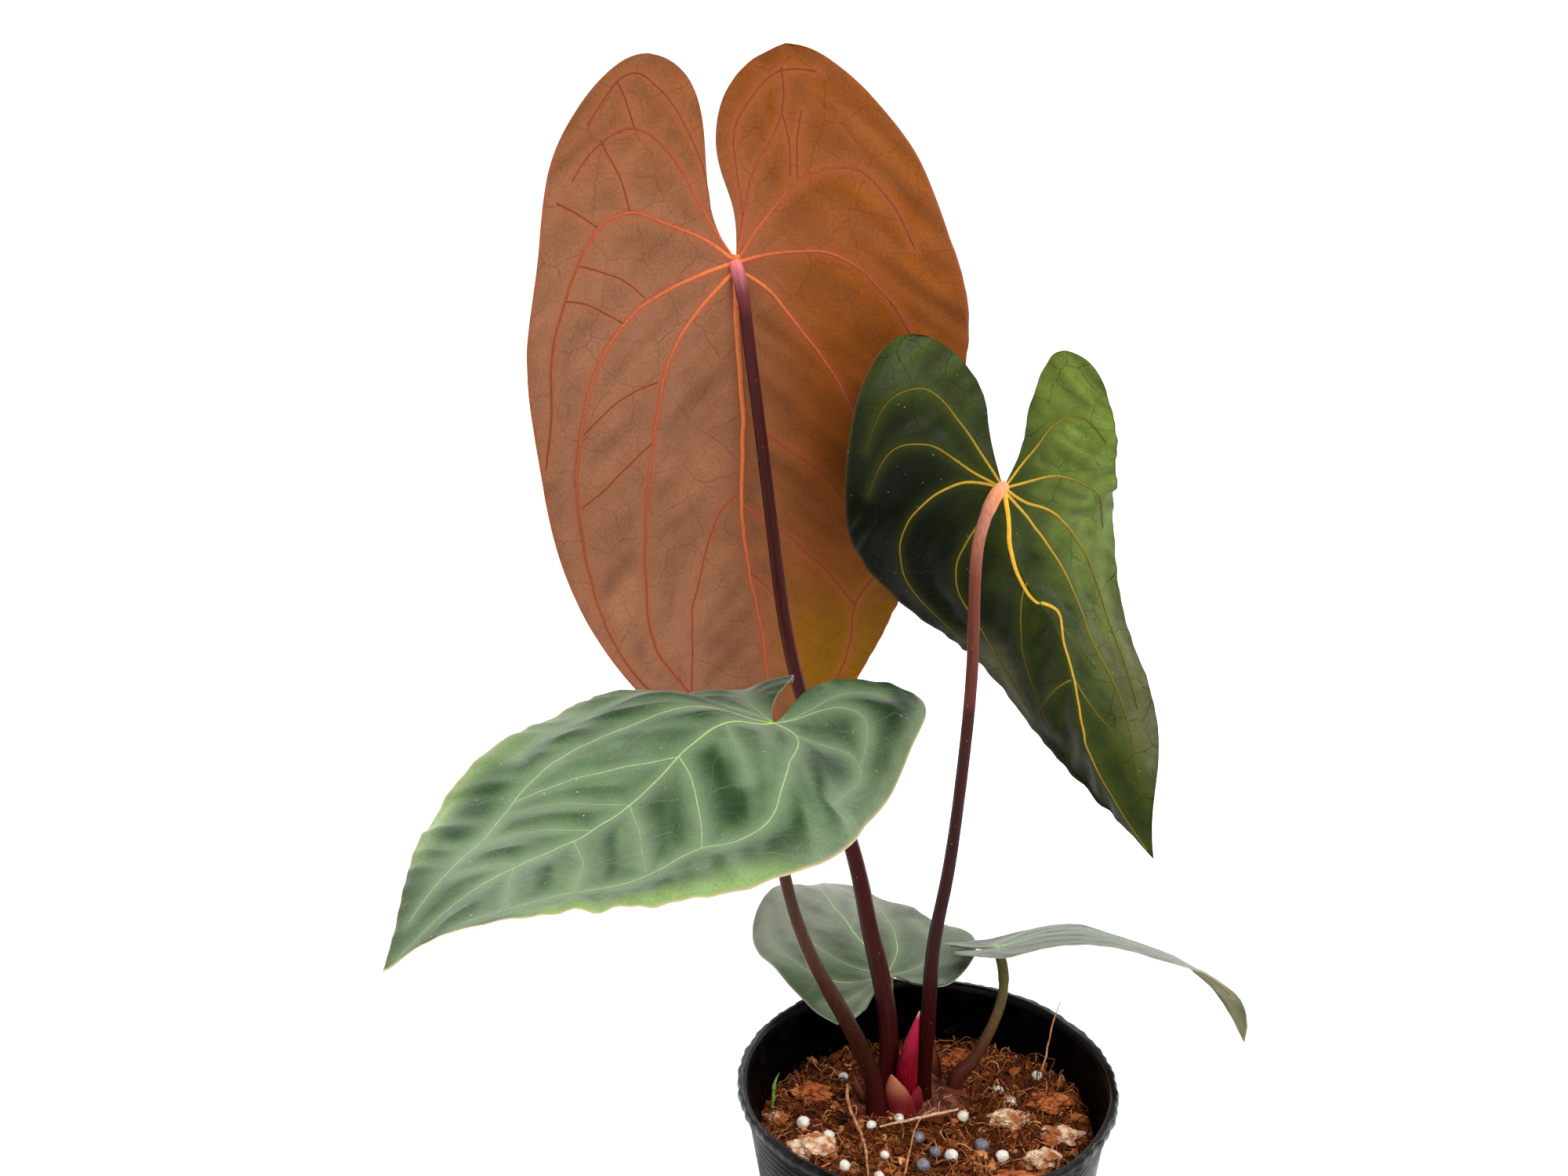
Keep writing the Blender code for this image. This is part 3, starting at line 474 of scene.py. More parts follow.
def rough_ball(size, roughness, seed, levels, coarse=1.7):
    """A lump of stone or husk: a ball pushed in and out at three scales, then scaled to size."""
    lump = bmesh.new()
    bmesh.ops.create_icosphere(lump, subdivisions=levels, radius=1.0)
    points = []
    shift = Vector((seed * 3.1, seed * 1.7, seed * 0.9))
    for vertex in lump.verts:
        spot = vertex.co * coarse + shift
        bulges = noise.noise(spot) + 0.45 * noise.noise(spot * 2.7) + 0.22 * noise.noise(spot * 6.5)
        push = 1 + roughness * bulges
        points.append([c * push * s / 2 for c, s in zip(vertex.co, size)])
    faces = [tuple(v.index for v in face.verts) for face in lump.faces]
    lump.free()
    return np.array(points), faces


def node_place(name):
    """Centre and size, in millimetres, of the space that a node takes."""
    low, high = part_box(name)
    return (np.array(low) + np.array(high)) / 2 / MM, (np.array(high) - np.array(low)) / MM


def mineral_finish(name, deep, pale, stain, stained, scale, roughness=0.95, bump_mm=0.5):
    finish, tree, shader = start_finish(name, roughness, 0.2)
    shade = blend(tree, spread(tree, grain(tree, scale, 6.0), 0.35, 0.6), deep, pale)
    shade = blend(tree, spread(tree, grain(tree, scale * 0.45, 5.0), stained, stained + 0.12), shade, stain)
    tree.links.new(shade, shader.inputs["Base Color"])
    add_bump(tree, shader, grain(tree, scale * 2.5, 6.0), bump_mm)
    return finish


pumice_finish = mineral_finish("pumice_stone", (0.5, 0.19, 0.08), (0.9, 0.68, 0.48),
                               (0.4, 0.12, 0.035), 0.5, 420.0)
husk_finish = mineral_finish("husk_chip", (0.2, 0.035, 0.008), (0.5, 0.15, 0.04),
                             (0.65, 0.27, 0.1), 0.58, 500.0)
bark_finish = mineral_finish("bark_flake", (0.03, 0.014, 0.011), (0.09, 0.04, 0.03),
                             (0.16, 0.07, 0.04), 0.6, 350.0)
for name in sorted(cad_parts):
    if name.startswith("pumice"):
        kind, finish, rough, slot = 5, pumice_finish, 0.42, "pumice"
    elif name.startswith("husk_chip"):
        kind, finish, rough, slot = 50, husk_finish, 0.5, "husk"
    elif name == "bark_chip":
        kind, finish, rough, slot = 80, bark_finish, 0.35, "bark"
    else:
        continue
    centre, size = node_place(name)
    seed = kind + int(name[-1]) if name[-1].isdigit() else kind
    points, faces = rough_ball(size * 1.12, rough, seed, 5)
    add_piece(name + "_lump", points + centre - (0, 0, 0.8), faces, [finish], slot, [name])

# ---------------------------------------------------------------------------------------------
# Slow-release feed granules: small moulded beads with a hard resin coat, most of them white, a
# few grey, slightly flattened and dusted with coir.
white_coat, tree, shader = start_finish("white_coat", 0.35, 0.5)
shade = blend(tree, spread(tree, grain(tree, 700.0), 0.35, 0.7), (0.92, 0.9, 0.82), (0.75, 0.68, 0.56))
shade = blend(tree, spread(tree, grain(tree, 1600.0), 0.66, 0.74), shade, (0.35, 0.17, 0.08))
tree.links.new(shade, shader.inputs["Base Color"])
shader.inputs["Subsurface Weight"].default_value = 0.15
shader.inputs["Subsurface Scale"].default_value = 0.001
add_bump(tree, shader, grain(tree, 1500.0), 0.1)
grey_coat, tree, shader = start_finish("grey_coat", 0.35, 0.5)
shade = blend(tree, spread(tree, grain(tree, 700.0), 0.35, 0.7), (0.15, 0.14, 0.17), (0.26, 0.24, 0.28))
shade = blend(tree, spread(tree, grain(tree, 1700.0), 0.64, 0.74), shade, (0.3, 0.15, 0.08))
tree.links.new(shade, shader.inputs["Base Color"])
add_bump(tree, shader, grain(tree, 1500.0), 0.1)
for name in sorted(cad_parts):
    if "granule" not in name:
        continue
    centre, size = node_place(name)
    number = int(name[-2:].strip("_"))
    white = name.startswith("white")
    bead = size * (1.0, 0.94 + 0.05 * sin(number), 0.85)
    points, faces = rough_ball(bead, 0.13, number + (0 if white else 40), 4, coarse=0.9)
    coat, slot = (white_coat, "white_coat") if white else (grey_coat, "grey_coat")
    add_piece(name.replace("granule", "bead"), points + centre - (0, 0, 0.35), faces, [coat], slot, [name])

# ---------------------------------------------------------------------------------------------
# Stray strands: two long coir fibres, a thin pale twig across the top, and a seedling that has
# come up by the wall.


def spline(knots, values):
    """A natural cubic spline through values at the knots."""
    knots = np.asarray(knots, float)
    values = np.asarray(values, float)
    count = len(knots)
    step = np.diff(knots)
    matrix = np.zeros((count, count))
    right = np.zeros_like(values)
    matrix[0, 0] = matrix[-1, -1] = 1
    for i in range(1, count - 1):
        matrix[i, i - 1:i + 2] = step[i - 1], 2 * (step[i - 1] + step[i]), step[i]
        right[i] = 6 * ((values[i + 1] - values[i]) / step[i] - (values[i] - values[i - 1]) / step[i - 1])
    bend = np.linalg.solve(matrix, right)

    def at(q):
        q = np.asarray(q, float)
        i = np.clip(np.searchsorted(knots, q, side="right") - 1, 0, count - 2)
        shape = (...,) + (None,) * (values.ndim - 1)
        a = (knots[i + 1] - q)[shape]
        b = (q - knots[i])[shape]
        h = step[i][shape]
        cubic = (bend[i] * a ** 3 + bend[i + 1] * b ** 3) / (6 * h)
        return cubic + (values[i] / h - bend[i] * h / 6) * a + (values[i + 1] / h - bend[i + 1] * h / 6) * b

    return at


def lengths_along(points):
    steps = np.linalg.norm(np.diff(points, axis=0), axis=1)
    return np.concatenate([[0], np.cumsum(steps)])


def smooth_curve(points, count):
    """count points, evenly spaced, along a smooth curve through the design points."""
    points = np.asarray(points, float)
    chords = np.linalg.norm(np.diff(points, axis=0), axis=1)
    knots = np.concatenate([[0], np.cumsum(np.sqrt(chords))])
    fine = spline(knots, points)(np.linspace(0, knots[-1], 40 * len(points)))
    along = lengths_along(fine)
    places = np.linspace(0, along[-1], count)
    return np.stack([np.interp(places, along, column) for column in fine.T], -1)


def strand_finish(name, dark, pale, scale=900.0):
    finish, tree, shader = start_finish(name, 0.65, 0.3)
    shade = blend(tree, spread(tree, grain(tree, scale), 0.35, 0.65), dark, pale)
    tree.links.new(shade, shader.inputs["Base Color"])
    add_bump(tree, shader, grain(tree, scale * 3), 0.1)
    return finish


tan_strand = strand_finish("tan_strand", (0.38, 0.13, 0.045), (0.66, 0.34, 0.16))
pale_twig = strand_finish("pale_twig", (0.5, 0.24, 0.13), (0.78, 0.52, 0.36))
young_green = strand_finish("young_green", (0.1, 0.22, 0.03), (0.25, 0.42, 0.1))
STRANDS = (
    ("long_strand_left", [(-21.5, 15, 74), (-21.5, 12, 78.5), (-21, 2, 78), (-18, -10, 77), (-17, -25, 74)],
     (0.2, 0.5, 0.42, 0.36, 0.2), tan_strand, "fibre", ["long_fibre_left"]),
    ("long_strand_right", [(34, 20, 73), (37, 24, 82), (38.5, 26.5, 88), (41, 29, 95)],
     (0.3, 0.28, 0.24, 0.14), tan_strand, "fibre", ["long_fibre_right"]),
    ("long_strand_front", [(-8, -25, 73), (-6, -18, 75.5), (-4, -10, 78), (0, -1, 78), (3, 3, 77)],
     (0.2, 0.26, 0.25, 0.25, 0.15), tan_strand, "fibre", []),
    ("pale_twig", [(-13, -5, 76.5), (-6, -4, 77.6), (1, -3, 78.6), (9, -1, 79.4)],
     (0.25, 0.42, 0.48, 0.3), pale_twig, "husk", ["twig"]),
    ("seedling_shoot", [(-43, 9, 71), (-42.6, 8.6, 76), (-42.2, 8.8, 80), (-41, 9, 84)],
     (0.3, 0.5, 0.6, 0.12), young_green, "seedling_green", ["seedling"]),
)
for name, route, radii, finish, slot, replaced in STRANDS:
    path = smooth_curve(route, 48)
    wobble = np.array([noise.noise_vector(Vector(p) / 3.5) for p in path]) * 0.35
    thick = np.interp(np.linspace(0, 1, 48), np.linspace(0, 1, len(radii)), radii)
    points, faces = tube(path + wobble * fade(np.arange(48), 0, 8)[:, None], thick, 8)
    add_piece(name, points, faces, [finish], slot, replaced)

# ---------------------------------------------------------------------------------------------
# The crown: a short thick rootstock, ringed by old leaf scars, wrapped in papery tan scales, with
# a rolled crimson new leaf standing in its sheath.
CROWN_RADII = (18.0, 11.0)
CROWN_TOP = 73.6
STOCK_SIDES = 96

stock_levels = [(47.6, 0.45), (52, 0.72), (60, 0.92), (66, 1.0), (69, 1.0), (70.6, 0.95), (71.4, 0.98),
                (72.4, 0.88), (73.0, 0.9), (73.6, 0.7), (73.7, 0.3)]
stock_heights = np.linspace(stock_levels[0][0], CROWN_TOP, 60)
stock_widths = np.interp(stock_heights, [z for z, _ in stock_levels], [w for _, w in stock_levels])
stock_turns = np.linspace(0, 2 * pi, STOCK_SIDES, endpoint=False)
stock_points = []
for z, width in zip(stock_heights, stock_widths):
    scars = 1 + 0.03 * np.sin(5 * z + 2 * np.sin(stock_turns)) + 0.05 * np.sin(3 * stock_turns + z / 8)
    radius = width * scars * (1 + 0.03 * np.sin(11 * stock_turns + z))
    stock_points += [(CROWN[0] + CROWN_RADII[0] * r * cos(t), CROWN[1] + CROWN_RADII[1] * r * sin(t), z)
                     for r, t in zip(radius, stock_turns)]
stock_points += [(*CROWN, stock_heights[0]), (*CROWN, CROWN_TOP)]
stock_faces = tube_faces(len(stock_heights), STOCK_SIDES, 0)
root_skin, tree, shader = start_finish("root_skin", 0.6, 0.3)
barky = spread(tree, grain(tree, 220.0, 6.0), 0.35, 0.65)
shade = blend(tree, barky, (0.05, 0.009, 0.006), (0.26, 0.07, 0.035))
tree.links.new(shade, shader.inputs["Base Color"])
add_bump(tree, shader, grain(tree, 900.0), 0.4)
add_piece("rootstock_base", stock_points, stock_faces, [root_skin], "root_skin", ["rootstock"])


def scale_leaf(base, tip, outward, width, bulge):
    """A thin pointed scale, curved round the stem and torn along its top edge."""
    base, tip, outward = (np.asarray(v, float) for v in (base, tip, outward))
    up = unit(tip - base)
    outward = unit(outward - up * (outward @ up))
    across = np.cross(up, outward)
    rows, columns, thick = 34, 25, 0.22
    layers = []
    for shift in (thick, -thick):
        for r in range(rows):
            share = r / (rows - 1)
            for c in range(columns):
                side = 2 * c / (columns - 1) - 1
                ragged = 1 - 0.12 * noise.noise(Vector((side * 3, share * 4, 0)))
                half = width / 2 * (1 - share ** 2.4 * ragged)
                angle = side * radians(75)
                ribs = 0.07 * sin(side * 26)
                spot = base + (tip - base) * share + outward * bulge * sin(pi * share * 0.8)
                spot = spot + across * (half + 0.1) * sin(angle) - outward * half * 0.9 * (1 - cos(angle))
                layers.append(spot + outward * (shift * (1 - 0.5 * share) + ribs))
    size = rows * columns
    faces = []
    for r in range(rows - 1):
        for c in range(columns - 1):
            a = r * columns + c
            faces.append((a, a + 1, a + columns + 1, a + columns))
            faces.append((size + a, size + a + columns, size + a + columns + 1, size + a + 1))
    rim = list(range(columns)) + [r * columns + columns - 1 for r in range(1, rows)]
    rim += [(rows - 1) * columns + c for c in range(columns - 2, -1, -1)]
    rim += [r * columns for r in range(rows - 2, 0, -1)]
    faces += [(b, a, size + a, size + b) for a, b in zip(rim, rim[1:] + rim[:1])]
    return layers, faces


def papery_finish(name, low_colour, high_colour, low, high):
    finish, tree, shader = start_finish(name, 0.5, 0.35)
    place = node(tree, "ShaderNodeTexCoord").outputs["Object"]
    level = node(tree, "ShaderNodeSeparateXYZ", {0: place}).outputs["Z"]
    streaked = node(tree, "ShaderNodeMapping", {"Vector": place, "Scale": (1800.0, 1800.0, 160.0)}).outputs[0]
    streaks = grain(tree, 1.0, 4.0, streaked)
    climb = spread(tree, level, low * MM, high * MM)
    rise = combine(tree, "ADD", climb, combine(tree, "MULTIPLY", streaks, 0.3))
    shade = blend(tree, spread(tree, rise, 0.1, 1.15), low_colour, high_colour)
    shade = blend(tree, spread(tree, streaks, 0.55, 0.75, 0, 0.6), shade, (0.25, 0.06, 0.02))
    tree.links.new(shade, shader.inputs["Base Color"])
    add_bump(tree, shader, streaks, 0.2)
    return finish


papery_scale = papery_finish("papery_scale", (0.2, 0.01, 0.012), (0.5, 0.17, 0.09), 75.0, 86.0)
crimson_scale = papery_finish("crimson_scale", (0.12, 0.006, 0.008), (0.3, 0.012, 0.03), 73.0, 83.0)
dull_scale = papery_finish("dull_scale", (0.05, 0.008, 0.006), (0.28, 0.09, 0.04), 72.0, 84.0)
SCALES = (
    ("spear_sheath", (-6.5, 5.5, 71), (-9.4, 5.6, 86.5), (-0.35, -1, 0.1), 9.0, 1.0, papery_scale),
    ("right_crown_scale", (-2.5, 6.8, 71), (-1.6, 7.4, 81.5), (0.5, -1, 0.1), 6.5, 0.8, crimson_scale),
    ("left_crown_scale", (-17, 13, 71), (-18.5, 12, 82), (-1, -0.3, 0.1), 8, 1.5, dull_scale),
    ("back_crown_scale", (3, 24, 71), (4, 26, 83), (0.3, 1, 0.1), 8, 1.2, dull_scale),
)
for name, base, tip, outward, width, bulge, finish in SCALES:
    points, faces = scale_leaf(base, tip, outward, width, bulge)
    add_piece(name + "_paper", points, faces, [finish], "papery_scale", [name])

SPEAR_ROUTE = [(-5.5, 9, 71), (-5, 8.8, 77), (-4.6, 9.2, 86), (-3, 10.4, 96), (-1.5, 11, 103)]
SPEAR_RADII = (2.2, 3.0, 2.9, 1.7, 0.15)
SPEAR_ROWS, SPEAR_SIDES = 90, 36
path = smooth_curve(SPEAR_ROUTE, SPEAR_ROWS)
share = np.linspace(0, 1, SPEAR_ROWS)
radii = spline(np.linspace(0, 1, len(SPEAR_RADII)), SPEAR_RADII)(share)
spear_points, spear_faces = tube(path, radii, SPEAR_SIDES, 0.8)
turn = np.tile(2 * pi * np.arange(SPEAR_SIDES) / SPEAR_SIDES, SPEAR_ROWS)
seam = (turn - 3.4 - 1.2 * np.repeat(share, SPEAR_SIDES) + pi) % (2 * pi) - pi
fold = 1 - 0.16 * np.exp(-(seam / 0.22) ** 2) + 0.1 * np.exp(-((seam - 0.5) / 0.35) ** 2)
core = np.repeat(path, SPEAR_SIDES, axis=0)
spear_points[:-2] = core + (spear_points[:-2] - core) * fold[:, None]
crimson_leaf, tree, shader = start_finish("crimson_leaf", 0.38, 0.15)
place = node(tree, "ShaderNodeTexCoord").outputs["Object"]
level = node(tree, "ShaderNodeSeparateXYZ", {0: place}).outputs["Z"]
streaked = node(tree, "ShaderNodeMapping", {"Vector": place, "Scale": (1300.0, 1300.0, 120.0)}).outputs[0]
streaks = grain(tree, 1.0, 4.0, streaked)
shade = blend(tree, spread(tree, level, 0.072, 0.084), (0.04, 0.001, 0.002), (0.17, 0.002, 0.01))
shade = blend(tree, spread(tree, level, 0.088, 0.1), shade, (0.42, 0.008, 0.05))
shade = blend(tree, spread(tree, level, 0.1005, 0.103), shade, (0.85, 0.45, 0.4))
shade = blend(tree, spread(tree, streaks, 0.45, 0.7, 0, 0.35), shade, (0.4, 0.006, 0.035))
tree.links.new(shade, shader.inputs["Base Color"])
add_bump(tree, shader, streaks, 0.15)
add_piece("rolled_leaf_spear", spear_points, spear_faces, [crimson_leaf], "crimson_leaf", ["leaf_spear"])

# ---------------------------------------------------------------------------------------------
# The petioles: smooth fleshy stalks, a little ribbed, thick and dark at the base, where they
# sheathe the crown, and ending in a short swollen joint that runs into the veins of the blade.
PETIOLE_ROWS, PETIOLE_SIDES = 170, 28
SWELLING_LENGTH = 11.0
MAROON = (0.034, 0.0042, 0.0035)
stalk_skin, tree, shader = start_finish("stalk_skin", 0.36, 0.1)
tone = node(tree, "ShaderNodeAttribute", attribute_name="tone").outputs["Color"]
place = node(tree, "ShaderNodeTexCoord").outputs["Object"]
stretched = node(tree, "ShaderNodeMapping", {"Vector": place, "Scale": (900.0, 900.0, 90.0)}).outputs[0]
streaks = grain(tree, 1.0, 4.0, stretched)
shade = blend(tree, spread(tree, streaks, 0.3, 0.7), (0.85, 0.85, 0.85), (1.15, 1.12, 1.1))
shade = blend(tree, 1.0, tone, shade, "MULTIPLY")
flecks = node(tree, "ShaderNodeTexVoronoi", {"Vector": place, "Scale": 330.0}).outputs["Distance"]
shade = blend(tree, spread(tree, flecks, 0.09, 0.05, 0, 0.5), shade, (0.4, 0.17, 0.09))
tree.links.new(shade, shader.inputs["Base Color"])
add_bump(tree, shader, streaks, 0.08)

# The pale pink and pinkish tan last stops of the tall and dark stalks are a painted highlight where light
# falls on the stalk by the joint.
PETIOLES = {
    "tall_leaf": (
        [(-9, 16, 71), (-9, 16, 77), (-10, 20, 97), (-15, 27, 121), (-20, 34, 142), (-35, 43, 187),
         (-42, 45, 228), (-46.5, 42.5, 268), (-49, 41.3, 289), (-50.4, 43, 299.5), (-52.2, 46.4, 306)],
        (2.9, 2.7, 2.2, 1.9, 1.7, 1.6, 1.6),
        [(0, (0.06, 0.006, 0.005)), (0.12, MAROON), (0.8, MAROON), (0.94, (0.05, 0.007, 0.007)),
         (0.965, (0.13, 0.026, 0.032)), (0.982, (0.32, 0.09, 0.11)), (1, (0.68, 0.18, 0.17))]),
    "dark_leaf": (
        [(0, 14, 71), (0, 14, 77), (1, 11, 100), (2, 11, 124), (5, 12, 143), (8, 12, 172), (10, 12, 208),
         (10, 13, 233), (12, 17, 243), (16, 23.4, 249.4), (18, 26.3, 250.6)],
        (2.5, 2.2, 1.8, 1.6, 1.6, 1.6, 1.6),
        [(0, (0.03, 0.003, 0.003)), (0.45, (0.022, 0.0035, 0.003)), (0.655, (0.035, 0.006, 0.005)),
         (0.67, (0.08, 0.018, 0.012)), (0.85, (0.13, 0.034, 0.02)), (0.94, (0.36, 0.14, 0.09)),
         (1, (0.75, 0.3, 0.13))]),
    "spreading_leaf": (
        [(-13, 9, 71), (-13, 9, 77), (-21, 6, 101), (-31, 2, 123), (-39, -2, 151), (-42, -6, 180),
         (-42, -8, 193), (-42, -8, 197.4)],
        (2.6, 2.4, 2.0, 1.7, 1.6, 1.6),
        [(0, (0.06, 0.007, 0.006)), (0.2, (0.035, 0.009, 0.005)), (0.5, (0.05, 0.02, 0.009)),
         (0.85, (0.035, 0.012, 0.007)), (1, (0.12, 0.07, 0.02))]),
    "low_leaf": (
        [(-10, 23, 71), (-10, 23, 76), (-9, 27, 83), (-9, 31, 91), (-9, 34.5, 97.5), (-9, 35, 99.4)],
        (2.3, 1.9, 1.5, 1.5),
        [(0, (0.06, 0.008, 0.006)), (0.4, (0.07, 0.045, 0.015)), (1, (0.2, 0.18, 0.05))]),
    "side_leaf": (
        [(10, 19, 71), (11, 20, 76.5), (14, 21, 79), (20, 24, 88), (24, 27, 100), (23.2, 28.6, 109),
         (22, 29, 112)],
        (2.0, 1.8, 1.5, 1.4, 1.3),
        [(0, (0.06, 0.008, 0.006)), (0.35, (0.09, 0.03, 0.015)), (0.6, (0.12, 0.08, 0.025)),
         (0.85, (0.09, 0.085, 0.025)), (1, (0.1, 0.11, 0.03))]),
}
for name, (route, radii, tones) in PETIOLES.items():
    path = smooth_curve(route, PETIOLE_ROWS)
    along = lengths_along(path)
    share = along / along[-1]
    thick = np.interp(share, np.linspace(0, 1, len(radii)), radii)
    swelling = 0.16 * fade(along, along[-1] - SWELLING_LENGTH, along[-1] - SWELLING_LENGTH + 2)
    thick = thick * (1 + swelling - 0.1 * fade(along, along[-1] - 2.5, along[-1]))
    thick = thick * (1 + 0.3 * (1 - fade(along, 0, 14)))
    thick *= 1 + 0.025 * np.array([noise.noise(Vector((a / 5, 0.0, radii[0]))) for a in along])
    points, faces = tube(path, thick, PETIOLE_SIDES)
    turn = np.tile(2 * pi * np.arange(PETIOLE_SIDES) / PETIOLE_SIDES, PETIOLE_ROWS)
    ribs = 1 + 0.022 * np.sin(7 * turn) + 0.012 * np.sin(3 * turn + 1)
    core = np.repeat(path, PETIOLE_SIDES, axis=0)
    points[:-2] = core + (points[:-2] - core) * ribs[:, None]
    stops = [s for s, _ in tones]
    colour = np.stack([np.interp(share, stops, [c[k] for _, c in tones]) for k in range(3)], -1)
    colour = np.concatenate([np.repeat(colour, PETIOLE_SIDES, axis=0), colour[:1], colour[-1:]])
    tone = np.concatenate([colour, np.ones((len(colour), 1))], -1)
    slot = "olive_stem" if name in ("spreading_leaf", "side_leaf") else "maroon_stem"
    add_piece(name + "_stalk", points, faces, [stalk_skin], slot, [name + "_petiole"], tone=tone)

# ---------------------------------------------------------------------------------------------
# The leaf blades: thin leathery hearts. Each half is laid out flat, as (along, across) from the
# joint, then bent to the midrib; between the veins the blade puffs up a little, and the veins
# stand proud as tapering ridges, high underneath and low on the upper face.
FRAME_REACH = 14.0
LOBE_SHARE = 0.28
BLADE_ROWS, BLADE_COLUMNS = 150, 52
BLADE_THICKNESS = 0.5
MARGIN_STEPS = 900
VEIN_SIDES = 8
VEIN_GLOW = 2.5
LEAF_GLOSS = 0.1
NET_CELLS = 0.085


def half_grid(sinus, margin, length, rows, columns):
    """Flat points (row, column) of half a blade: rows run from lobe to tip, columns outwards."""
    lobe_rows = int(rows * LOBE_SHARE)
    folded = smooth_curve([(0, 0)] + list(sinus), lobe_rows + 1)[::-1]
    ribs = rows - lobe_rows
    midrib = np.stack([np.linspace(0, length, ribs)[1:], np.zeros(ribs - 1)], -1)
    inner = np.concatenate([folded, midrib])
    places = lengths_along(inner)
    outer = smooth_curve([sinus[-1]] + list(margin) + [(length, 0)], MARGIN_STEPS)
    steps = np.linspace(0, 1, MARGIN_STEPS)
    outer = np.stack([np.interp(places / places[-1], steps, column) for column in outer.T], -1)
    across = np.linspace(0, 1, columns)[None, :, None] ** 0.9
    return inner[:, None] * (1 - across) + outer[:, None] * across


def leaf_surface(leaf):
    """A function that lifts flat leaf points into place, by a height in mm over the upper face."""
    midrib = np.asarray(leaf["midrib"], float)
    rough = lengths_along(midrib)
    fine_at = np.linspace(0, rough[-1], 400)
    fine = spline(rough, midrib)(fine_at)
    knots = np.interp(rough, fine_at, lengths_along(fine))
    knots -= knots[leaf["joint"]]
    first, last = knots[0], knots[-1]
    rib = spline(knots, midrib)
    facing = spline([first, 0, last], unit(np.asarray(leaf["facing"], float)))
    fold = np.radians(leaf["fold"])
    cup = np.radians(leaf["cup"]) / 50

    def even(values, s):
        places = np.linspace(first, last, len(values))
        if len(values) < 3:
            return np.stack([np.interp(s, places, column) for column in values.T], -1)
        return spline(places, values)(s)

    def tangent(s, reach):
        return unit(rib(np.minimum(s + reach, last)) - rib(np.maximum(s - reach, first)))

    def place(flat):
        s, u = flat[..., 0], flat[..., 1]
        held = np.clip(s, first, last)
        centre = rib(held) + tangent(held, 1.0) * (s - held)[..., None]
        sideways = unit(np.cross(tangent(held, FRAME_REACH), facing(held)))
        up = np.cross(sideways, tangent(held, FRAME_REACH))
        side = (u > 0).astype(int)[..., None]
        bend = np.take_along_axis(even(fold, held), side, -1)[..., 0]
        more = np.take_along_axis(even(cup, held), side, -1)[..., 0]
        reach = np.abs(u)
        angles = bend[..., None] + more[..., None] * reach[..., None] * (np.arange(8) + 0.5) / 8
        out = np.cos(angles).mean(-1) * reach * np.sign(u)
        return centre + sideways * out[..., None] + up * (np.sin(angles).mean(-1) * reach)[..., None]

    def lifted(flat, height):
        flat = np.asarray(flat, float)
        step = 0.2
        along = place(flat + (step, 0)) - place(flat - (step, 0))
        outward = place(flat + (0, step)) - place(flat - (0, step))
        normal = unit(np.cross(outward, along))
        return place(flat) + normal * np.broadcast_to(height, flat.shape[:-1])[..., None], normal

    return lifted


def nearest(points, others):
    """Distance from each flat point to the nearest of the others."""
    found = [np.sqrt(((part[:, None] - others[None]) ** 2).sum(-1).min(1))
             for part in np.array_split(points, max(1, len(points) // 1500))]
    return np.concatenate(found)


def vein_set(routes, name):
    """Each vein as evenly spaced flat points, with its radius at each and how far out it is."""
    veins = []
    for route, first, last in routes:
        count = max(6, int(lengths_along(np.asarray(route, float))[-1] / 1.1))
        path = smooth_curve(route, count)
        wander = np.array([noise.noise_vector(Vector((p[0] / 7, p[1] / 7, len(name)))) for p in path])[:, :2]
        share = np.linspace(0, 1, count)
        path = path + 0.5 * wander * np.sin(pi * share)[:, None]
        veins.append((path, first + (last - first) * share ** 0.55, share))
    return veins


def quilting(flat, pitch, seed):
    """Folds between the veins: long lumps that run outwards from the midrib and towards the tip."""
    waves = []
    for s, u in flat:
        waves.append(noise.noise(Vector(((s - 0.85 * abs(u)) / pitch, u / (4 * pitch), seed))))
    return np.array(waves)


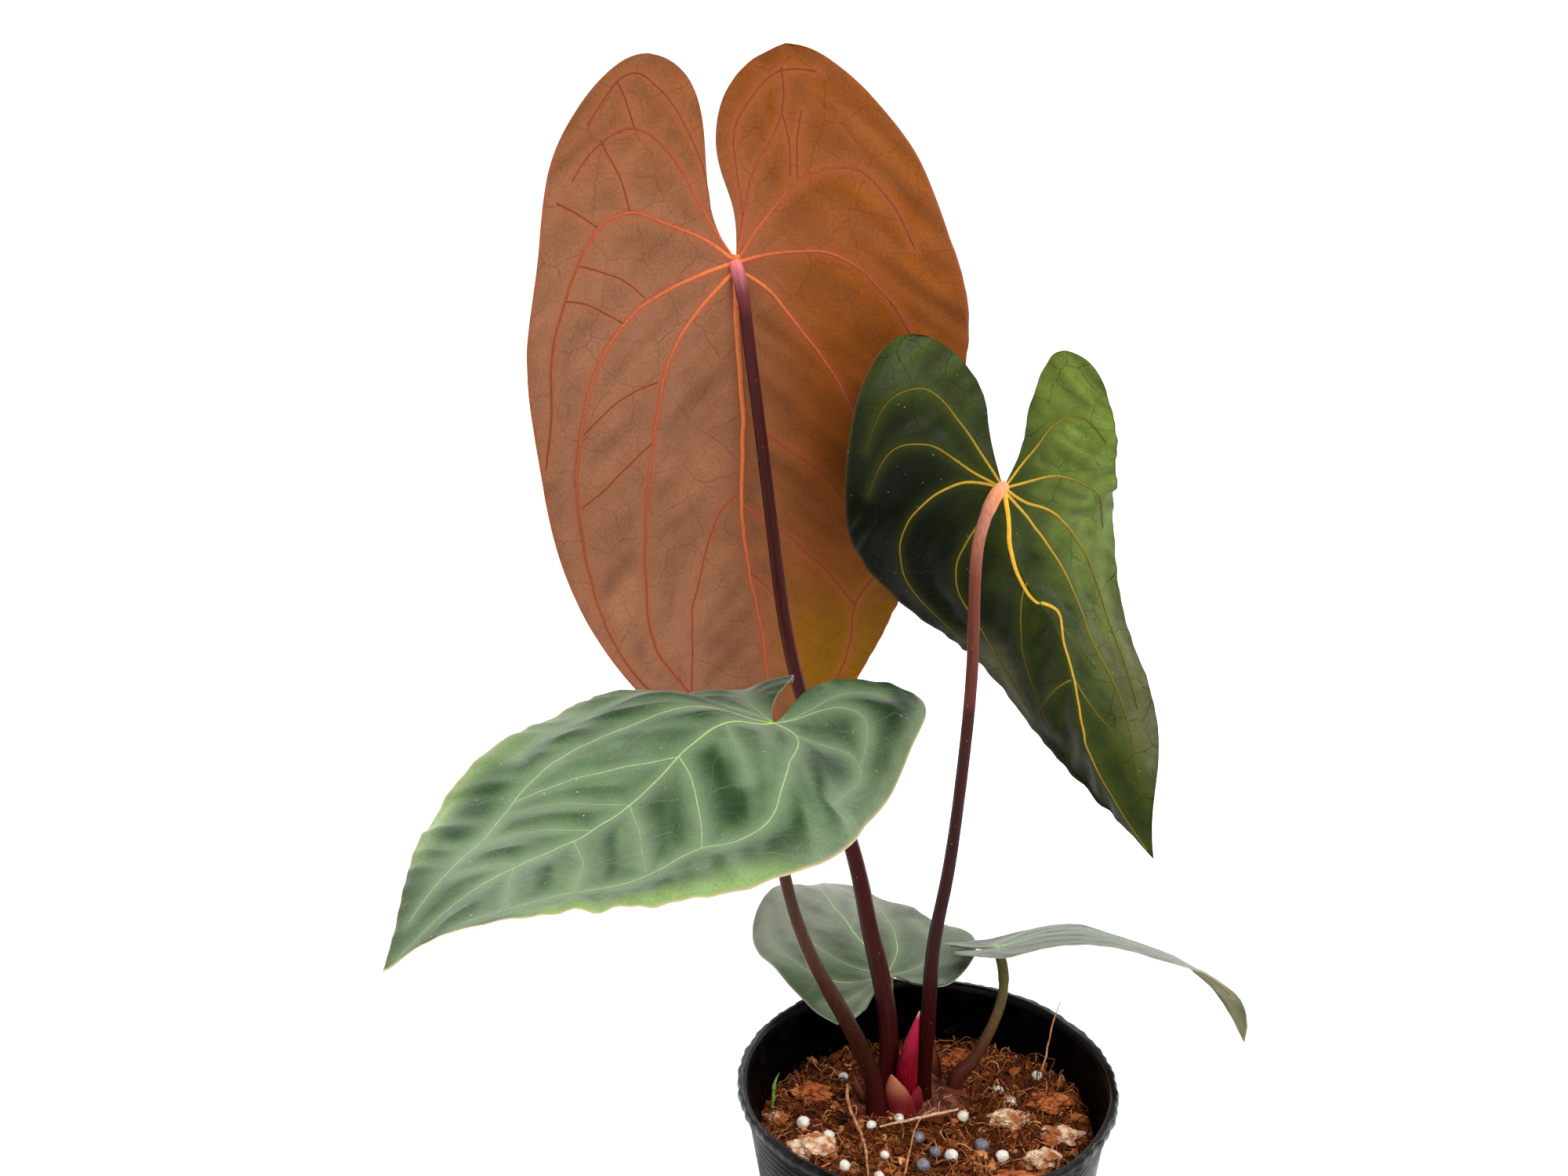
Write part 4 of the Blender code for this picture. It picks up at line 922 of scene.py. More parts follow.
def build_blade(name, leaf, veins, faces_of, tones, puff, slot, ripple=0.35, pitch=5.0):
    """The blade with its two faces, and its vein ridges; tones colour the faces from flat points."""
    lift = leaf_surface(leaf)
    rib_points = np.concatenate([path for path, _, _ in veins])
    index = {}
    flats, shares = [], []
    lobe = int(BLADE_ROWS * LOBE_SHARE)
    for side in ("left", "right"):
        sinus, margin = leaf[side]
        grid = half_grid(sinus, margin, leaf["length"], BLADE_ROWS, BLADE_COLUMNS)
        numbers = np.zeros((BLADE_ROWS, BLADE_COLUMNS), int)
        for r in range(BLADE_ROWS):
            for c in range(BLADE_COLUMNS):
                single = r == 0 or r == BLADE_ROWS - 1
                if single and c:
                    numbers[r, c] = numbers[r, 0]
                elif side == "right" and c == 0 and r >= lobe or side == "right" and r == BLADE_ROWS - 1:
                    numbers[r, c] = index["left"][r, 0]
                else:
                    numbers[r, c] = len(flats)
                    flats.append(grid[r, c])
                    edge = c / (BLADE_COLUMNS - 1)
                    shares.append(1.0 if single else edge)
        index[side] = numbers
    flats = np.array(flats)
    shares = np.array(shares)
    away = nearest(flats, rib_points)
    calm = 1 - 0.6 * fade(shares, 0.85, 1.0)
    rise = puff * (1 - np.exp(-(away / 6.0) ** 2)) * calm
    waves = quilting(flats, pitch, leaf["length"])
    rise = rise + ripple * waves * fade(away, 1.0, 6.0)
    edge_wave = np.array([noise.noise(Vector((s / 13, u / 13, 5.0))) for s, u in flats])
    rise = rise + 0.7 * edge_wave * fade(shares, 0.8, 1.0)
    thick = BLADE_THICKNESS * (1 - 0.45 * shares)
    upper, normal = lift(flats, rise)
    lower = upper - normal * thick[:, None]
    total = len(flats)
    faces, kinds = [], []
    for side in ("left", "right"):
        numbers = index[side]
        quads = []
        for r in range(BLADE_ROWS - 1):
            for c in range(BLADE_COLUMNS - 1):
                a, b = int(numbers[r, c]), int(numbers[r + 1, c])
                d, e = int(numbers[r + 1, c + 1]), int(numbers[r, c + 1])
                quads.append(((a, b, d, e), 0))
                quads.append(((total + e, total + d, total + b, total + a), 1))
            a, b = int(numbers[r, -1]), int(numbers[r + 1, -1])
            if a != b:
                quads.append(((a, b, total + b, total + a), 0))
            if r < lobe:
                a, b = int(numbers[r, 0]), int(numbers[r + 1, 0])
                quads.append(((b, a, total + a, total + b), 0))
        for quad, kind in quads:
            ring = list(dict.fromkeys(quad))
            if len(ring) > 2:
                faces.append(tuple(ring[::-1] if side == "right" else ring))
                kinds.append(kind)
    halo = np.exp(-(away / 1.6) ** 2)
    rim = fade(shares, 0.975, 1.0)
    tone = np.concatenate([tones[0](flats, away, shares), tones[1](flats, away, shares)])
    tone = np.concatenate([tone, np.ones((len(tone), 1))], -1)
    flat3 = np.concatenate([flats, np.zeros((total, 1))], -1)
    add_piece(name + "_sheet", np.concatenate([upper, lower]), faces, faces_of[:2], slot, [name + "_blade"],
              face_materials=kinds, flat=np.concatenate([flat3, flat3]), tone=tone,
              halo=np.concatenate([halo, halo]), rim=np.concatenate([rim, rim]))

    vein_points, vein_faces, vein_kinds, reach = [], [], [], []
    count = 0
    turn = 2 * pi * np.arange(VEIN_SIDES) / VEIN_SIDES
    for path, radii, _ in veins:
        for kind, drop, wide, tall in ((0, 0.05, 0.62, 0.28), (1, -BLADE_THICKNESS, 1.0, 0.75)):
            centre, up = lift(path, drop)
            ahead = unit(np.gradient(centre, axis=0))
            across = unit(np.cross(ahead, up))
            ring = np.cos(turn)[None, :, None] * across[:, None] * wide
            ring = ring + np.sin(turn)[None, :, None] * up[:, None] * tall
            points = (centre[:, None] + radii[:, None, None] * ring).reshape(-1, 3)
            points = np.concatenate([points, [centre[0], centre[-1]]])
            made = tube_faces(len(path), VEIN_SIDES, count)
            vein_points.append(points)
            vein_faces += made
            vein_kinds += [kind] * len(made)
            reach.append(np.concatenate([np.repeat(radii, VEIN_SIDES), radii[:1], radii[-1:]]))
            count += len(points)
    add_piece(name + "_veins", np.concatenate(vein_points), vein_faces, faces_of[2:], slot,
              face_materials=vein_kinds, girth=np.concatenate(reach))


def face_finish(name, roughness, mottle, net, glow, halo_tint, rim_and_highlight, sheen=0.0, specks=0.0):
    """One face of a blade: its mottled tone, a fine net of veins, and light that comes through.

    net, glow and halo_tint each give a colour and its share."""
    net_colour, net_share = net
    glow_colour, glow_share = glow
    halo_colour, halo_share = halo_tint
    finish, tree, shader = start_finish(name, roughness, LEAF_GLOSS)
    flat = node(tree, "ShaderNodeAttribute", attribute_name="flat").outputs["Vector"]
    tone = node(tree, "ShaderNodeAttribute", attribute_name="tone").outputs["Color"]
    halo = node(tree, "ShaderNodeAttribute", attribute_name="halo").outputs["Fac"]
    rim = node(tree, "ShaderNodeAttribute", attribute_name="rim").outputs["Fac"]
    broad = grain(tree, 0.1, 4.0, flat)
    fine = grain(tree, 1.3, 5.0, flat)
    low, high = 1 - mottle, 1 + mottle
    shade = blend(tree, spread(tree, broad, 0.3, 0.7), (low, low, low), (high, high, high))
    shade = blend(tree, 1.0, tone, shade, "MULTIPLY")
    pores = blend(tree, spread(tree, fine, 0.3, 0.7), (0.88, 0.88, 0.88), (1.1, 1.1, 1.1))
    shade = blend(tree, 1.0, shade, pores, "MULTIPLY")
    warp = node(tree, "ShaderNodeTexNoise", {"Vector": flat, "Scale": 0.3, "Detail": 2.0}).outputs["Color"]
    shift = node(tree, "ShaderNodeVectorMath", {0: warp, "Scale": 3.0}, operation="SCALE").outputs[0]
    bent = node(tree, "ShaderNodeVectorMath", {0: flat, 1: shift}, operation="ADD").outputs[0]
    lines = []
    for size, width in ((NET_CELLS, 0.014), (NET_CELLS * 2.9, 0.03)):
        cell = node(tree, "ShaderNodeTexVoronoi", {"Vector": bent, "Scale": size}, feature="DISTANCE_TO_EDGE",
                    voronoi_dimensions="2D").outputs["Distance"]
        lines.append(spread(tree, cell, width, width * 0.3))
    patchy = spread(tree, grain(tree, 0.07, 2.0, flat), 0.35, 0.6)
    coarse = combine(tree, "MULTIPLY", lines[0], patchy)
    shade = blend(tree, combine(tree, "MULTIPLY", coarse, net_share), shade, net_colour)
    shade = blend(tree, combine(tree, "MULTIPLY", lines[1], net_share * 0.3), shade, net_colour)
    shade = blend(tree, combine(tree, "MULTIPLY", halo, halo_share), shade, halo_colour)
    # The margin line: partly the margin's own colour, partly a painted highlight along the edge.
    shade = blend(tree, rim, shade, rim_and_highlight)
    if specks:
        dots = node(tree, "ShaderNodeTexVoronoi", {"Vector": flat, "Scale": 0.42}).outputs["Distance"]
        some = spread(tree, grain(tree, 0.6, 2.0, flat), 0.52, 0.62)
        dot = combine(tree, "MULTIPLY", spread(tree, dots, 0.1, 0.05), some)
        shade = blend(tree, combine(tree, "MULTIPLY", dot, specks), shade, (0.75, 0.78, 0.68))
    tree.links.new(shade, shader.inputs["Base Color"])
    shader.inputs["Sheen Weight"].default_value = sheen
    shader.inputs["Sheen Roughness"].default_value = 0.4
    fine_net = combine(tree, "MULTIPLY", lines[1], 0.4)
    ridge = combine(tree, "ADD", fine_net, combine(tree, "MULTIPLY", fine, 0.6))
    add_bump(tree, shader, combine(tree, "ADD", lines[0], ridge), 0.16, 0.6)
    through = node(tree, "ShaderNodeBsdfTranslucent",
                   {"Color": blend(tree, 1.0, shade, glow_colour, "MULTIPLY")}).outputs[0]
    both = node(tree, "ShaderNodeMixShader", {0: glow_share, 1: shader.outputs[0], 2: through}).outputs[0]
    tree.links.new(both, tree.nodes["Material Output"].inputs["Surface"])
    return finish


def vein_finish(name, stops, roughness=0.45):
    """Vein ridges coloured by how thick they are, as (girth in mm, colour), thin ends first."""
    finish, tree, shader = start_finish(name, roughness, 0.1)
    girth = node(tree, "ShaderNodeAttribute", attribute_name="girth").outputs["Fac"]
    shade = stops[0][1]
    for (low, _), (high, colour) in zip(stops, stops[1:]):
        shade = blend(tree, spread(tree, girth, low, high), shade, colour)
    speckle = blend(tree, spread(tree, grain(tree, 1500.0), 0.3, 0.7), (0.85, 0.85, 0.85), (1.12, 1.12, 1.12))
    tree.links.new(blend(tree, 1.0, shade, speckle, "MULTIPLY"), shader.inputs["Base Color"])
    return finish


def mixed(share, first, second):
    share = np.asarray(share)[:, None]
    return np.asarray(first) * (1 - share) + np.asarray(second) * share


# The tall leaf stands upright with its back to the front: its underside is coppery, with painted light: soft
# greyish pink towards the margin lit from the front, a painted orange glow where light comes through; upper
# face bronze green.
TALL = {
    "midrib": [(-55, 62, 360), (-52, 54, 334), (-52, 47, 306), (-51, 52, 257), (-50, 62, 209),
               (-45, 70, 164), (-41, 70, 134)],
    "joint": 2,
    "facing": [(-0.05, 1, 0.25), (-0.05, 1, 0.25), (-0.05, 1, 0.15)],
    "fold": [(-2, 0), (-2, 0)],
    "cup": [(-11, 11), (-11, 13)],
    "left": ([(-11, -6), (-28, -8), (-45, -9), (-54, -14), (-57, -20)],
             [(-56, -26), (-45, -39), (-23, -49), (1, -52), (21, -56), (46, -56), (77, -53),
              (102, -46), (126, -35), (150, -19), (166, -6)]),
    "right": ([(-14, -1), (-28, -5), (-45, -1), (-53, 9), (-55, 16)],
             [(-52, 24), (-39, 38), (-26, 49), (-2, 60), (22, 64), (48, 61), (84, 53),
              (117, 40), (144, 22), (166, 8)]),
    "length": 175,
}
TALL_VEINS = [
    ([(-2, 0), (20, 0), (45, 0.5), (70, -0.5), (90, 1), (110, 3), (130, 3), (172, 0)], 0.95, 0.22),
    ([(0, 0), (-7, -5), (-21, -13), (-32, -20), (-36, -27), (-31, -36), (-20, -43)], 0.5, 0.12),
    ([(-14, -7), (-26, -9), (-39, -14), (-48, -19), (-52, -24), (-49, -30), (-38, -38)], 0.16, 0.12),
    ([(-36, -26), (-42, -27), (-50, -29)], 0.14, 0.1),
    ([(-33, -35), (-27, -33), (-20, -30), (-12, -28)], 0.16, 0.12),
    ([(0, 0), (-6, -9), (-10, -20), (-12, -28), (-8, -36), (0, -41), (9, -45), (20, -49), (36, -51),
      (53, -54)], 0.6, 0.12),
    ([(0, 0), (3, -9), (9, -22), (15, -30), (26, -38), (41, -43), (60, -46), (82, -45), (100, -42),
      (118, -36), (140, -22)], 0.62, 0.13),
    ([(2, 0), (10, -8), (24, -18), (47, -24), (76, -28), (99, -29), (113, -28), (128, -21),
      (150, -12)], 0.62, 0.14),
    ([(65, -1), (72, -7), (87, -12), (101, -16), (116, -18), (128, -20)], 0.3, 0.12),
    ([(0, 0), (-12, 1.5), (-24, 0), (-34, 0), (-42, 5), (-48, 13), (-47, 23)], 0.3, 0.1),
    ([(0, 0), (-12, 2), (-22, 4), (-29, 8), (-38, 13), (-49, 14)], 0.42, 0.12),
    ([(-37, 13), (-31, 14), (-22, 14)], 0.14, 0.1),
    ([(0, 0), (-8, 5), (-15, 10), (-21, 16), (-24, 25), (-23, 33), (-15, 42), (-4, 48)], 0.5, 0.12),
    ([(-21, 16), (-30, 16), (-38, 18)], 0.13, 0.1),
    ([(0, 0), (-2, 8), (-3, 16), (-2, 26), (4, 35), (14, 43), (26, 48), (44, 50)], 0.58, 0.12),
    ([(2, 0), (7, 8), (16, 15), (26, 22), (37, 28), (50, 34), (66, 40), (84, 42), (98, 37)], 0.6, 0.14),
    ([(42, 1), (48, 7), (57, 18), (69, 28), (82, 34)], 0.32, 0.12),
    ([(69, 0), (77, 9), (90, 21), (107, 31)], 0.4, 0.14),
    ([(98, 37), (107, 31), (118, 29), (132, 23), (150, 12)], 0.2, 0.12),
    ([(-14, -47), (-12, -43), (-8, -36)], 0.12, 0.1), ([(1, -41), (4, -31), (9, -24)], 0.12, 0.1),
    ([(9, -45), (10, -39), (15, -30)], 0.12, 0.1),
    ([(48, -24), (55, -32), (61, -38), (66, -45)], 0.16, 0.12),
    ([(31, -22), (35, -32), (44, -43)], 0.13, 0.1), ([(91, 1), (100, 8), (118, 12), (134, 11)], 0.22, 0.1),
]


def tall_under(flat, away, shares):
    s, u = flat.T
    # Painted light: the pink half stands for the side lit from the front, the orange half for light shining
    # through.
    lit_pink_side = mixed(fade(s, -45, 20), (0.25, 0.085, 0.028), (0.285, 0.122, 0.064))
    tone = mixed(fade(u + 12 * fade(-s, 0, 40), -16, 26), lit_pink_side, (0.235, 0.06, 0.006))
    # Painted light and shade: the tone goes lighter and darker along the quilting folds.
    quilt = quilting(flat, 6.0, TALL["length"])
    tone = tone * (1 + 0.4 * quilt * fade(away, 1, 5))[:, None]
    middle = fade(away, 1.5, 9)
    tone = mixed(0.22 * middle, tone, (0.2, 0.062, 0.014))
    golden = fade(s, 82, 122) * fade(u, 2, 18)
    tone = mixed(golden, tone, (0.22, 0.088, 0.001))
    return mixed(0.45 * fade(s, 110, 150) * (1 - golden), tone, (0.2, 0.1, 0.055))


def tall_upper(flat, away, shares):
    return mixed(np.exp(-(away / VEIN_GLOW) ** 2), (0.045, 0.05, 0.018), (0.09, 0.075, 0.03))


tall_faces = [
    face_finish("tall_upper_face", 0.5, 0.18, net=((0.08, 0.06, 0.03), 0.5), glow=((1.0, 0.75, 0.35), 0.25),
                halo_tint=((0.1, 0.09, 0.03), 0.5), rim_and_highlight=(0.2, 0.1, 0.03), sheen=0.3),
    face_finish("tall_underside", 0.5, 0.08, net=((0.13, 0.032, 0.012), 0.4), glow=((1.0, 0.8, 0.5), 0.22),
                halo_tint=((0.42, 0.1, 0.035), 0.35), rim_and_highlight=(0.3, 0.08, 0.03)),
    vein_finish("tall_upper_veins", [(0.1, (0.08, 0.05, 0.02)), (0.5, (0.2, 0.14, 0.05))]),
    vein_finish("tall_under_veins", [(0.1, (0.13, 0.028, 0.01)), (0.22, (0.24, 0.048, 0.018)),
                                     (0.36, (0.38, 0.075, 0.03)), (0.62, (0.66, 0.17, 0.05))]),
]
build_blade("tall_leaf", TALL, vein_set(TALL_VEINS, "tall"), tall_faces,
            (tall_upper, tall_under), 1.0, "copper_leaf", ripple=0.9)

# The dark leaf hangs half folded, its underside to the front: nearly black green on one half, which is
# painted shade, the other half painted lighter green for light showing through it, with golden veins and a
# painted grey sheen.
DARK = {
    "midrib": [(15, 40, 285), (15, 33, 268), (18, 27, 250), (23, 28, 228), (34, 30, 210),
               (42, 30, 183), (52, 28, 162), (62, 22, 147)],
    "joint": 2,
    "facing": [(-0.1, 1, 0.3), (-0.1, 1, 0.3), (0.15, 1, 0.25)],
    "fold": [(-10, 17), (-6, 26), (9, 33), (25, 43), (31, 57), (42, 40), (41, 24), (37, 8)],
    "cup": [(8, -2), (8, -5)],
    "left": ([(-14, -1), (-26, -2), (-36, -11), (-39, -18)],
             [(-39, -24), (-32, -32), (-17, -38), (0, -42), (19, -42), (39, -37), (60, -28),
              (84, -17), (105, -5)]),
    "right": ([(-8, 7), (-16, 11), (-30, 16), (-38, 20)],
             [(-39, 24), (-35, 33), (-20, 40), (-1, 40), (20, 41), (42, 37), (66, 28),
              (89, 19), (107, 6)]),
    "length": 117,
}
DARK_VEINS = [
    ([(-1, 0), (12, 0), (27, -1), (35, 0), (41, 3.5), (48, 1), (60, 1), (76, 0), (114, 0)], 0.8, 0.2),
    ([(0, 0), (-9, -4), (-15, -7), (-21, -11), (-26, -18), (-24, -27), (-14, -34)], 0.42, 0.13),
    ([(0, 0), (-6, -8), (-12, -15), (-14, -22), (-12, -29), (-4, -35)], 0.45, 0.13),
    ([(0, 0), (-3, -9), (-2, -16), (2, -23), (10, -29), (24, -33), (44, -31)], 0.48, 0.13),
    ([(0, 0), (9, -8), (20, -17), (34, -22), (52, -22), (72, -18)], 0.4, 0.12),
    ([(28, 0), (40, -9), (54, -13), (74, -12)], 0.26, 0.12), ([(60, 0), (64, -7), (72, -15)], 0.28, 0.12),
    ([(0, 0), (-5, 7), (-11, 14), (-17, 21), (-19, 26), (-17, 31), (-8, 36)], 0.45, 0.13),
    ([(0, 0), (0, 8), (0, 16), (3, 23), (10, 30), (22, 34), (34, 33)], 0.45, 0.13),
    ([(0, 0), (6, 7), (11, 14), (19, 19), (30, 22), (44, 24), (60, 23), (78, 18)], 0.48, 0.14),
    ([(1, 0), (11, 7), (21, 11), (32, 13), (49, 13), (66, 15), (82, 13), (100, 6)], 0.48, 0.14),
    ([(60, 1), (70, 5), (82, 8), (96, 7)], 0.26, 0.12), ([(45, 2), (52, 6), (62, 11)], 0.2, 0.12),
]


def dark_under(flat, away, shares):
    s, u = flat.T
    middle = fade(away, 0.5, 7)
    # Painted shade and light: the left half is painted near black as shadow, the right half lighter green for
    # light coming through.
    left = mixed(fade(-u, 2, 22) * fade(s, -38, 0), (0.02, 0.03, 0.003), (0.002, 0.004, 0.0004))
    right = mixed(fade(u, 3, 26), (0.022, 0.035, 0.003), (0.11, 0.155, 0.022))
    right = mixed(0.5 * middle * fade(s, 30, 60), right, (0.02, 0.03, 0.004))
    tone = left * (1 - fade(u, -1, 3))[:, None] + right * fade(u, -1, 3)[:, None]
    lobes = fade(-s, 14, 38) * fade(-u, 0, 10) * (1 - fade(-u, 18, 34))
    tone = mixed(0.5 * lobes, tone, (0.06, 0.08, 0.015))
    # Painted light and shade: the tone goes lighter and darker along the quilting folds.
    quilt = quilting(flat, 4.5, DARK["length"])
    tone = tone * (1 + 0.7 * quilt * fade(away, 1, 5))[:, None]
    # Painted sheen: a grey patch on the lighter half where the blade catches the light.
    grey = fade(s, 40, 70) * fade(u, 7, 18)
    tone = mixed(0.8 * grey, tone, (0.1, 0.095, 0.045))
    band = fade(-u, 14, 22) * fade(s, 34, 58)
    return mixed(0.75 * band, tone, (0.1, 0.1, 0.05))


def dark_upper(flat, away, shares):
    return mixed(np.exp(-(away / VEIN_GLOW) ** 2), (0.02, 0.04, 0.012), (0.05, 0.09, 0.025))


dark_faces = [
    face_finish("dark_upper_face", 0.42, 0.2, net=((0.06, 0.1, 0.03), 0.4), glow=((0.7, 1.0, 0.25), 0.25),
                halo_tint=((0.06, 0.11, 0.03), 0.5), rim_and_highlight=(0.1, 0.12, 0.03), sheen=0.3),
    face_finish("dark_underside", 0.42, 0.22, net=((0.006, 0.008, 0.001), 0.7), glow=((0.8, 1.0, 0.25), 0.22),
                halo_tint=((0.1, 0.11, 0.008), 0.2), rim_and_highlight=(0.05, 0.035, 0.01), specks=0.3),
    vein_finish("dark_upper_veins", [(0.1, (0.04, 0.07, 0.02)), (0.5, (0.12, 0.2, 0.05))]),
    vein_finish("dark_under_veins", [(0.12, (0.045, 0.035, 0.004)), (0.22, (0.16, 0.11, 0.01)),
                                     (0.36, (0.4, 0.24, 0.02)), (0.6, (0.66, 0.36, 0.03))]),
]
build_blade("dark_leaf", DARK, vein_set(DARK_VEINS, "dark"), dark_faces,
            (dark_upper, dark_under), 1.1, "green_leaf", ripple=1.0)

# The spreading leaf reaches out to the left front, its upper face up: deep green under a painted grey sheen
# of velvet near the veins and folds, with lime veins, quilted between them, a painted shade on the near lobe,
# and paler and yellower along its margin.
SPREADING = {
    "midrib": [(-22, 22, 201), (-32, 6, 200), (-42, -8, 198), (-53, -22, 204),
               (-74, -45, 194), (-92, -66, 191), (-108, -86, 190), (-121, -98, 181)],
    "joint": 2,
    "facing": [(0.25, -0.35, 1), (0.15, -0.3, 1), (0, -0.2, 1)],
    "fold": [(12, -38), (10, -21), (2, -6), (1, -8), (7, 12), (6, -1), (13, -8), (26, 2)],
    "cup": [(-20, -34), (-12, -18), (-10, -34), (-7, -23), (3, -34), (0, -20), (-9, -1), (-2, 4)],
    "left": ([(-7, 1), (-22, 1), (-33, -8), (-37, -14)],
             [(-38, -21), (-30, -27), (-11, -33), (12, -43), (31, -48), (54, -47), (72, -38),
              (86, -30), (103, -18), (117, -5)]),
    "right": ([(-8, 6), (-18, 9), (-27, 12), (-32, 16)],
             [(-31, 21), (-26, 28), (-13, 34), (10, 43), (35, 44), (54, 41), (73, 38),
              (89, 30), (102, 21), (115, 10)]),
    "length": 127,
}
SPREADING_VEINS = [
    ([(0, 0), (18, 0), (37, 0), (54, 0), (80, 0), (104, 0), (124, 0)], 0.55, 0.16),
    ([(0, 0), (8, 6), (18, 12), (30, 18), (42, 22), (54, 23), (65, 22), (72, 20), (85, 15), (101, 10),
      (116, 5)], 0.42, 0.18),
    ([(37, 0), (42, 5), (48, 10), (55, 14), (63, 17), (72, 20)], 0.32, 0.2),
    ([(0, 0), (-4, 8), (-14, 20), (-22, 27)], 0.34, 0.12),
    ([(0, 0), (-1, 10), (2, 22), (12, 31), (26, 35), (44, 35), (60, 32)], 0.34, 0.12),
    ([(37, 0), (41, -8), (45, -13), (50, -19), (56, -25)], 0.3, 0.2),
    ([(0, 0), (0, -7), (8, -14), (18, -20), (32, -27), (41, -30), (50, -29), (56, -25), (70, -23), (80, -21),
      (90, -17), (100, -14), (112, -7)], 0.42, 0.16),
    ([(0, 0), (-8, -3), (-14, -6), (-18, -11), (-17, -16), (-11, -21), (-2, -26)], 0.34, 0.12),
    ([(0, -7), (-2, -14), (-4, -21), (0, -28), (8, -32), (18, -36)], 0.22, 0.12),
    ([(0, 0), (-12, -3), (-24, -7), (-30, -14)], 0.26, 0.12),
    ([(66, 0), (71, 4), (79, 10), (88, 13)], 0.22, 0.12),
    ([(72, 0), (77, -8), (83, -13), (89, -17)], 0.22, 0.12),
    ([(54, 0), (60, -9), (66, -16), (71, -22)], 0.22, 0.12), ([(88, 0), (95, 6), (103, 9)], 0.18, 0.1),
    ([(90, 0), (97, -6), (103, -12)], 0.18, 0.1), ([(20, 0), (26, -10), (32, -18)], 0.16, 0.1),
    ([(54, 0), (60, 6), (67, 12), (76, 18)], 0.2, 0.12),
]


def spreading_upper(flat, away, shares):
    s, u = flat.T
    # Painted sheen: the grey stands for light caught near the veins and on the fold ridges; deep is the
    # panels' own green.
    sheen = (0.13, 0.21, 0.1)
    deep = (0.014, 0.056, 0.008)
    middle = fade(away, 1.2, 6.5)
    patch = quilting(flat, 6.5, SPREADING["length"])
    tone = mixed(middle * fade(patch, -0.4, 0.3), sheen, deep)
    # Painted shade: the near lobe is darkened where it lies in shadow.
    near_lobe = fade(-u, 4, 16) * fade(-s, -22, 4)
    tone = mixed(0.8 * near_lobe * middle, tone, (0.008, 0.03, 0.004))
    tip = fade(s, 88, 116)
    tone = mixed(0.6 * tip, tone, (0.075, 0.1, 0.055))
    edge = fade(shares, 0.72, 0.98)
    lime = edge * fade(s, 40, 62) * (1 - fade(s, 96, 108))
    tone = mixed(lime * 0.75, tone, (0.32, 0.48, 0.15))
    return mixed(0.45 * edge * (1 - fade(s, 40, 62)), tone, (0.3, 0.4, 0.22))


def spreading_under(flat, away, shares):
    return mixed(np.exp(-(away / VEIN_GLOW) ** 2), (0.16, 0.17, 0.07), (0.3, 0.2, 0.1))


spreading_faces = [
    face_finish("spreading_upper_face", 0.45, 0.16, net=((0.24, 0.34, 0.17), 0.2),
                glow=((0.9, 1.0, 0.5), 0.25),
                halo_tint=((0.26, 0.36, 0.2), 0.5), rim_and_highlight=(0.55, 0.45, 0.22), sheen=0.5, specks=0.8),
    face_finish("spreading_underside", 0.5, 0.14, net=((0.12, 0.08, 0.03), 0.5), glow=((0.9, 1.0, 0.4), 0.25),
                halo_tint=((0.3, 0.2, 0.08), 0.4), rim_and_highlight=(0.4, 0.25, 0.1)),
    vein_finish("spreading_upper_veins", [(0.1, (0.24, 0.32, 0.19)), (0.26, (0.33, 0.46, 0.22)),
                                          (0.55, (0.42, 0.64, 0.1))]),
    vein_finish("spreading_under_veins", [(0.1, (0.2, 0.14, 0.06)), (0.5, (0.45, 0.3, 0.12))]),
]
build_blade("spreading_leaf", SPREADING, vein_set(SPREADING_VEINS, "spreading"), spreading_faces,
            (spreading_upper, spreading_under), 1.5, "green_leaf", ripple=1.3, pitch=6.5)

# The low leaf lies back over the rear of the lip, green with paler veins, turning grey green under a painted
# sheen, with a painted shade on one lobe.
LOW = {
    "midrib": [(-9, 18, 105), (-9, 35, 100), (-17, 52, 103), (-24, 68, 105), (-29, 82, 104),
               (-33, 96, 96), (-35, 106, 86)],
    "joint": 1,
    "facing": [(0, -0.5, 1), (0, -0.5, 1), (-0.3, 0.3, 1)],
    "fold": [(-34, 8), (0, 10), (12, -9), (5, -16), (12, -22), (24, -10), (13, -8)],
    "cup": [(-6, -15), (-6, -8)],
    "left": ([(-6, -4), (-14, -7), (-22, -10)],
             [(-24, -13), (-16, -19), (-5, -25), (9, -29), (24, -30), (37, -27), (52, -16), (65, -4)]),
    "right": ([(-5, 4), (-11, 6), (-14, 9)],
             [(-16, 14), (-13, 19), (-5, 25), (7, 30), (24, 27), (39, 23), (52, 16), (65, 7)]),
    "length": 76,
}
LOW_VEINS = [
    ([(0, 0), (20, 0), (40, 0), (60, 0), (74, 0)], 0.5, 0.15),
    ([(0, 0), (-8, -5), (-16, -9), (-21, -14)], 0.3, 0.12),
    ([(0, 0), (-6, -8), (-9, -15), (-6, -21)], 0.3, 0.12),
    ([(0, 0), (0, -10), (6, -18), (16, -23), (30, -24), (44, -19)], 0.34, 0.12),
    ([(1, 0), (8, -8), (18, -13), (30, -15), (44, -14), (60, -7)], 0.32, 0.12),
    ([(0, 0), (-6, 4), (-11, 9), (-13, 14)], 0.28, 0.12),
    ([(0, 0), (-2, 8), (2, 15), (10, 20), (22, 22)], 0.32, 0.12),
    ([(1, 0), (9, 7), (19, 12), (32, 14), (46, 13), (60, 7)], 0.32, 0.12),
    ([(24, 0), (32, 6), (40, 10)], 0.18, 0.1), ([(24, 0), (32, -7), (40, -11)], 0.18, 0.1),
    ([(40, 0), (48, 5), (55, 7)], 0.16, 0.1), ([(40, 0), (48, -5), (55, -8)], 0.16, 0.1),
]


